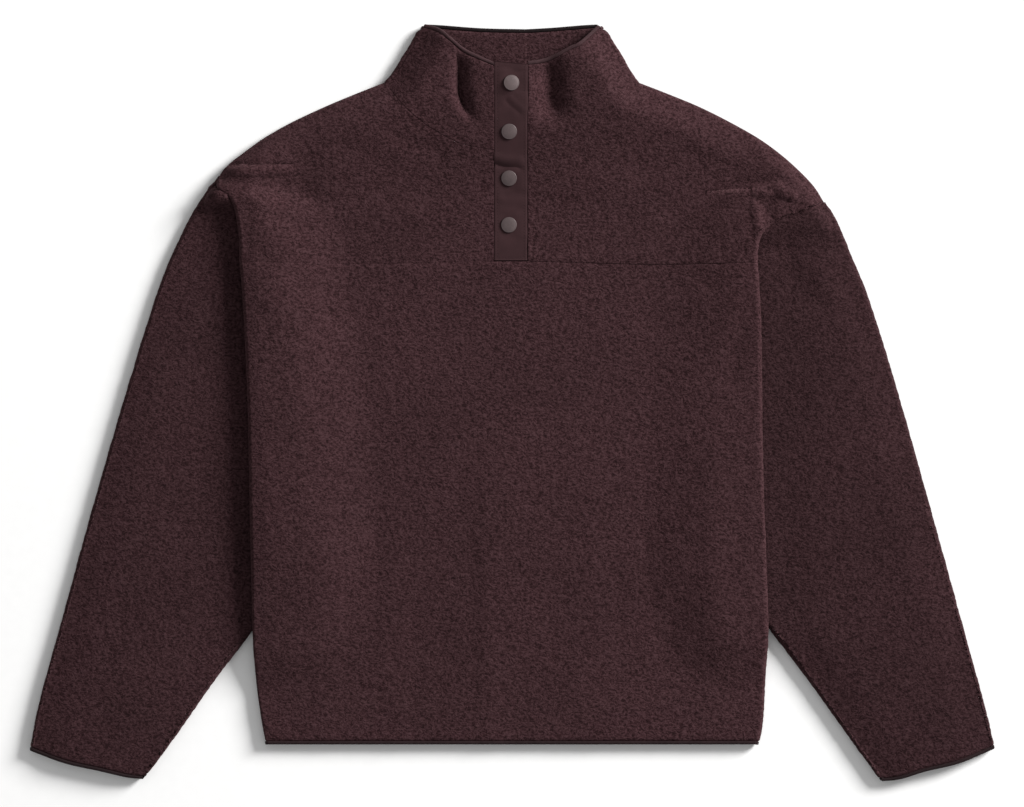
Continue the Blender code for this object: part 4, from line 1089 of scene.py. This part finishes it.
# Each ring of the cap: its size against that of the ring below, and its rise above it
CAP_PROFILE = ((1.10, 0.35), (1.012, 0.45), (0.985, 0.45), (0.955, 0.22), (0.965, -0.08),
               (0.93, 0.14), (0.8, 0.22), (0.68, 0.15), (0.5, 0.10))

# Snap paint: matte grey over metal, faintly speckled, and duller where the speckle is lighter
CAP, tree, shader = shader_material("snap_paint")
where = add(tree, "ShaderNodeTexCoord")
speckle = add(tree, "ShaderNodeTexNoise", Scale=2600, Detail=2)
broad = grouped(tree, UNEVEN_TONE, Size_per_metre=180, Darkest=0.9, Lightest=1.1)
colours = ramp(tree, (0.3, (0.074, 0.052, 0.053)), (0.7, (0.108, 0.079, 0.080)))
gloss = add(tree, "ShaderNodeMapRange", To_Min=0.42, To_Max=0.6)
join(tree, (where.outputs["Object"], speckle.inputs["Vector"]),
     (where.outputs["Object"], broad.inputs["Vector"]),
     (speckle.outputs["Fac"], colours.inputs["Fac"]),
     (speckle.outputs["Fac"], gloss.inputs["Value"]),
     (gloss.outputs["Result"], shader.inputs["Roughness"]))
toned(tree, shader, colours.outputs["Color"], broad.outputs["Tone"])
bumped(tree, shader, speckle.outputs["Fac"], 0.00004, 0.5)
set_inputs(shader, Metallic=0.3)


def make_snap(name, x, y):
    """A cap drawn up ring by ring from a disc, and tilted to the slope of the band under it."""
    step = 4.0
    height = band_height(np.array((x, x - step, x + step, x, x)),
                         np.array((y, y, y, y - step, y + step)))
    up = Vector((height[1] - height[2], height[3] - height[4], 2 * step)).normalized()
    place = Vector((x, y, height[0])) + up * (UPPER_BAND + TAPE + SEAM)
    bpy.ops.mesh.primitive_circle_add(vertices=64, radius=SNAP_FOOT * MM,
                                      fill_type="NGON")
    cap = bpy.context.object
    cap.name = name + "_cap"
    bpy.ops.object.mode_set(mode="EDIT")
    bpy.ops.mesh.select_all(action="SELECT")
    for scale, rise in CAP_PROFILE:
        bpy.ops.mesh.extrude_region_move(TRANSFORM_OT_translate={"value": (0, 0, rise * MM)})
        bpy.ops.transform.resize(value=(scale, scale, 1))
    bpy.ops.mesh.select_all(action="SELECT")
    bpy.ops.mesh.normals_make_consistent(inside=False)
    bpy.ops.object.mode_set(mode="OBJECT")
    cap.rotation_mode = "QUATERNION"
    cap.rotation_quaternion = Vector((0, 0, 1)).rotation_difference(up)
    cap.location = place * MM
    bpy.ops.object.transform_apply(location=True, rotation=True, scale=True)
    bpy.ops.object.shade_smooth_by_angle(angle=math.radians(50))
    cap.data.materials.append(CAP)
    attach(cap, "root")
    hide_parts(name)


for number, (x, y) in enumerate(SNAPS, start=1):
    make_snap("snap_cap_%d" % number, x, y)

# Bindings: knitted elastic tape, folded over the hem, the cuffs and the collar's edge and sewn
# through. It is dark, and near black behind as painted shade; in front, where it faces up, it is
# nearer the fleece's own burgundy.
RIB_PITCH = 1.2
# Its section, in distance past the edge and distance from the wall's middle, and the share and
# shift of it that shows, as the pile hides some
TAPE_SECTION = ((-4.2, 1.15), (0.4, 1.15), (0.5, 0.0), (0.4, -1.15), (-4.2, -1.15), (-4.3, -1.5),
                (-3.7, -1.85), (-1.8, -1.95), (0.2, -1.8), (1.0, -1.25), (1.35, 0.0),
                (1.0, 1.25), (0.2, 1.8), (-1.8, 1.95), (-3.7, 1.85), (-4.3, 1.5))
TAPE_SHARE, TAPE_SHIFT = (0.62, 0.9), (0.3, 0.0)

# Knitted elastic: fine ribs across the tape, a softer dip along its sewing line
BINDING, tree, shader = shader_material("knitted_elastic")
where = add(tree, "ShaderNodeTexCoord")
run_attribute = add(tree, "ShaderNodeAttribute", attribute_name="run")
across_attribute = add(tree, "ShaderNodeAttribute", attribute_name="across")
lit_share_attribute = add(tree, "ShaderNodeAttribute", attribute_name="lit_share")
turn = add(tree, "ShaderNodeMath", operation="MULTIPLY")
turn.inputs[1].default_value = 2 * math.pi / RIB_PITCH
ribs = add(tree, "ShaderNodeMath", operation="SINE")
lifted = add(tree, "ShaderNodeMapRange", From_Min=-1)
place = add(tree, "ShaderNodeMapRange", From_Min=-4.2, From_Max=0.0)
sewn = ramp(tree, (0.0, (1, 1, 1)), (0.35, (0.7, 0.7, 0.7)), (0.7, (1, 1, 1)))
dipped = add(tree, "ShaderNodeMath", operation="MULTIPLY")
# Near black: the tape's own dark colour, and painted shade where the tape faces back
dark_and_shade = ramp(tree, (0.0, (0.0045, 0.0028, 0.0030)), (1.0, (0.0130, 0.0075, 0.0085)))
burgundy = ramp(tree, (0.0, (0.026, 0.0120, 0.0135)), (1.0, (0.052, 0.0270, 0.0300)))
colours = add(tree, "ShaderNodeMix", data_type="RGBA")
broad = grouped(tree, UNEVEN_TONE, Size_per_metre=70, Darkest=0.85, Lightest=1.15)
join(tree, (run_attribute.outputs["Fac"], turn.inputs[0]), (turn.outputs["Value"], ribs.inputs[0]),
     (ribs.outputs["Value"], lifted.inputs["Value"]),
     (across_attribute.outputs["Fac"], place.inputs["Value"]),
     (place.outputs["Result"], sewn.inputs["Fac"]),
     (lifted.outputs["Result"], dipped.inputs[0]), (sewn.outputs["Color"], dipped.inputs[1]),
     (where.outputs["Object"], broad.inputs["Vector"]),
     (lit_share_attribute.outputs["Fac"], colours.inputs["Factor"]))
for dyed, slot in ((dark_and_shade, 6), (burgundy, 7)):
    join(tree, (dipped.outputs["Value"], dyed.inputs["Fac"]),
         (dyed.outputs["Color"], colours.inputs[slot]))
toned(tree, shader, colours.outputs[2], broad.outputs["Tone"])
bumped(tree, shader, dipped.outputs["Value"], 0.0002, 0.8)
set_inputs(shader, Roughness=0.85, Specular_IOR_Level=0.12)


def edge_frame(inner, outer, row, before, level=None):
    """Edge points of a wall's border row, the way past the edge and the way through the wall."""
    middle = (inner + outer) / 2
    past = middle[row] - middle[before]
    if level is not None:
        past = past * 0 + level
    up = outer[row] - inner[row]
    past = past / np.linalg.norm(past, axis=1, keepdims=True)
    up = up / np.linalg.norm(up, axis=1, keepdims=True)
    return middle[row], past, up


def make_binding(name, frames, ring, front_lit_share):
    """Folded tape swept along a row of edge frames, slightly uneven as it was sewn.

    Its lit share runs from near black at 0, painted shade on the back, to the fleece's own burgundy at
    1, where it faces up."""
    middle, past, up = (np.concatenate([f[k] for f in frames]) for k in range(3))
    run = np.concatenate(([0], np.cumsum(np.linalg.norm(np.diff(middle, axis=0), axis=1))))
    around = len(TAPE_SECTION)
    swell = 1 + 0.05 * np.sin(run / 5.3) + 0.04 * np.sin(run / 2.1 + 1)
    offset = np.array(TAPE_SECTION) * TAPE_SHARE + TAPE_SHIFT
    # Painted shade: the tape goes near black where it faces down or back, and takes its front colour
    # where it faces up
    lit_share = front_lit_share * ease(up[:, 2] + 0.4)
    points = (middle[:, None] + past[:, None] * offset[None, :, :1]
              + up[:, None] * offset[None, :, 1:] * swell[:, None, None])
    count = len(middle)
    i, k = np.mgrid[0:count if ring else count - 1, 0:around]
    n, j = (k + 1) % around, (i + 1) % count
    faces = np.stack((i * around + k, i * around + n, j * around + n, j * around + k), axis=-1)
    piece = make_mesh(name + "_tape", points.reshape(-1, 3), faces.reshape(-1, 4), BINDING)
    for key, value in (("run", np.repeat(run, around)), ("across", np.tile(offset[:, 0], count)),
                       ("lit_share", np.repeat(lit_share, around))):
        store = piece.data.attributes.new(key, "FLOAT", "POINT")
        store.data.foreach_set("value", value.astype(np.float32))
    bpy.ops.object.select_all(action="DESELECT")
    bpy.context.view_layer.objects.active = piece
    piece.select_set(True)
    bpy.ops.object.mode_set(mode="EDIT")
    bpy.ops.mesh.select_all(action="SELECT")
    bpy.ops.mesh.normals_make_consistent(inside=False)
    bpy.ops.object.mode_set(mode="OBJECT")
    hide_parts(name)
    return piece


hem_front = edge_frame(body_inner, body_outer, -1, -2)
hem_back = [part[-2:0:-1] for part in edge_frame(back_inner, back_outer, -1, -2, (0, -1, 0))]
hem_tape = make_binding("hem_binding", (hem_front, hem_back), True, 0.3)
cuff_left = make_binding("cuff_binding_left", (edge_frame(*sleeve_left[1:], -1, -2),), True, 0.2)
cuff_right = make_binding("cuff_binding_right", (edge_frame(*sleeve_right[1:], -1, -2),), True, 0.2)
collar_start = edge_frame(*collar_left[1:], 0, 1)
collar_end = [part[::-1] for part in edge_frame(*collar_right[1:], 0, 1)]
collar_tape = make_binding("collar_binding", (collar_start, collar_end), False, 1.0)
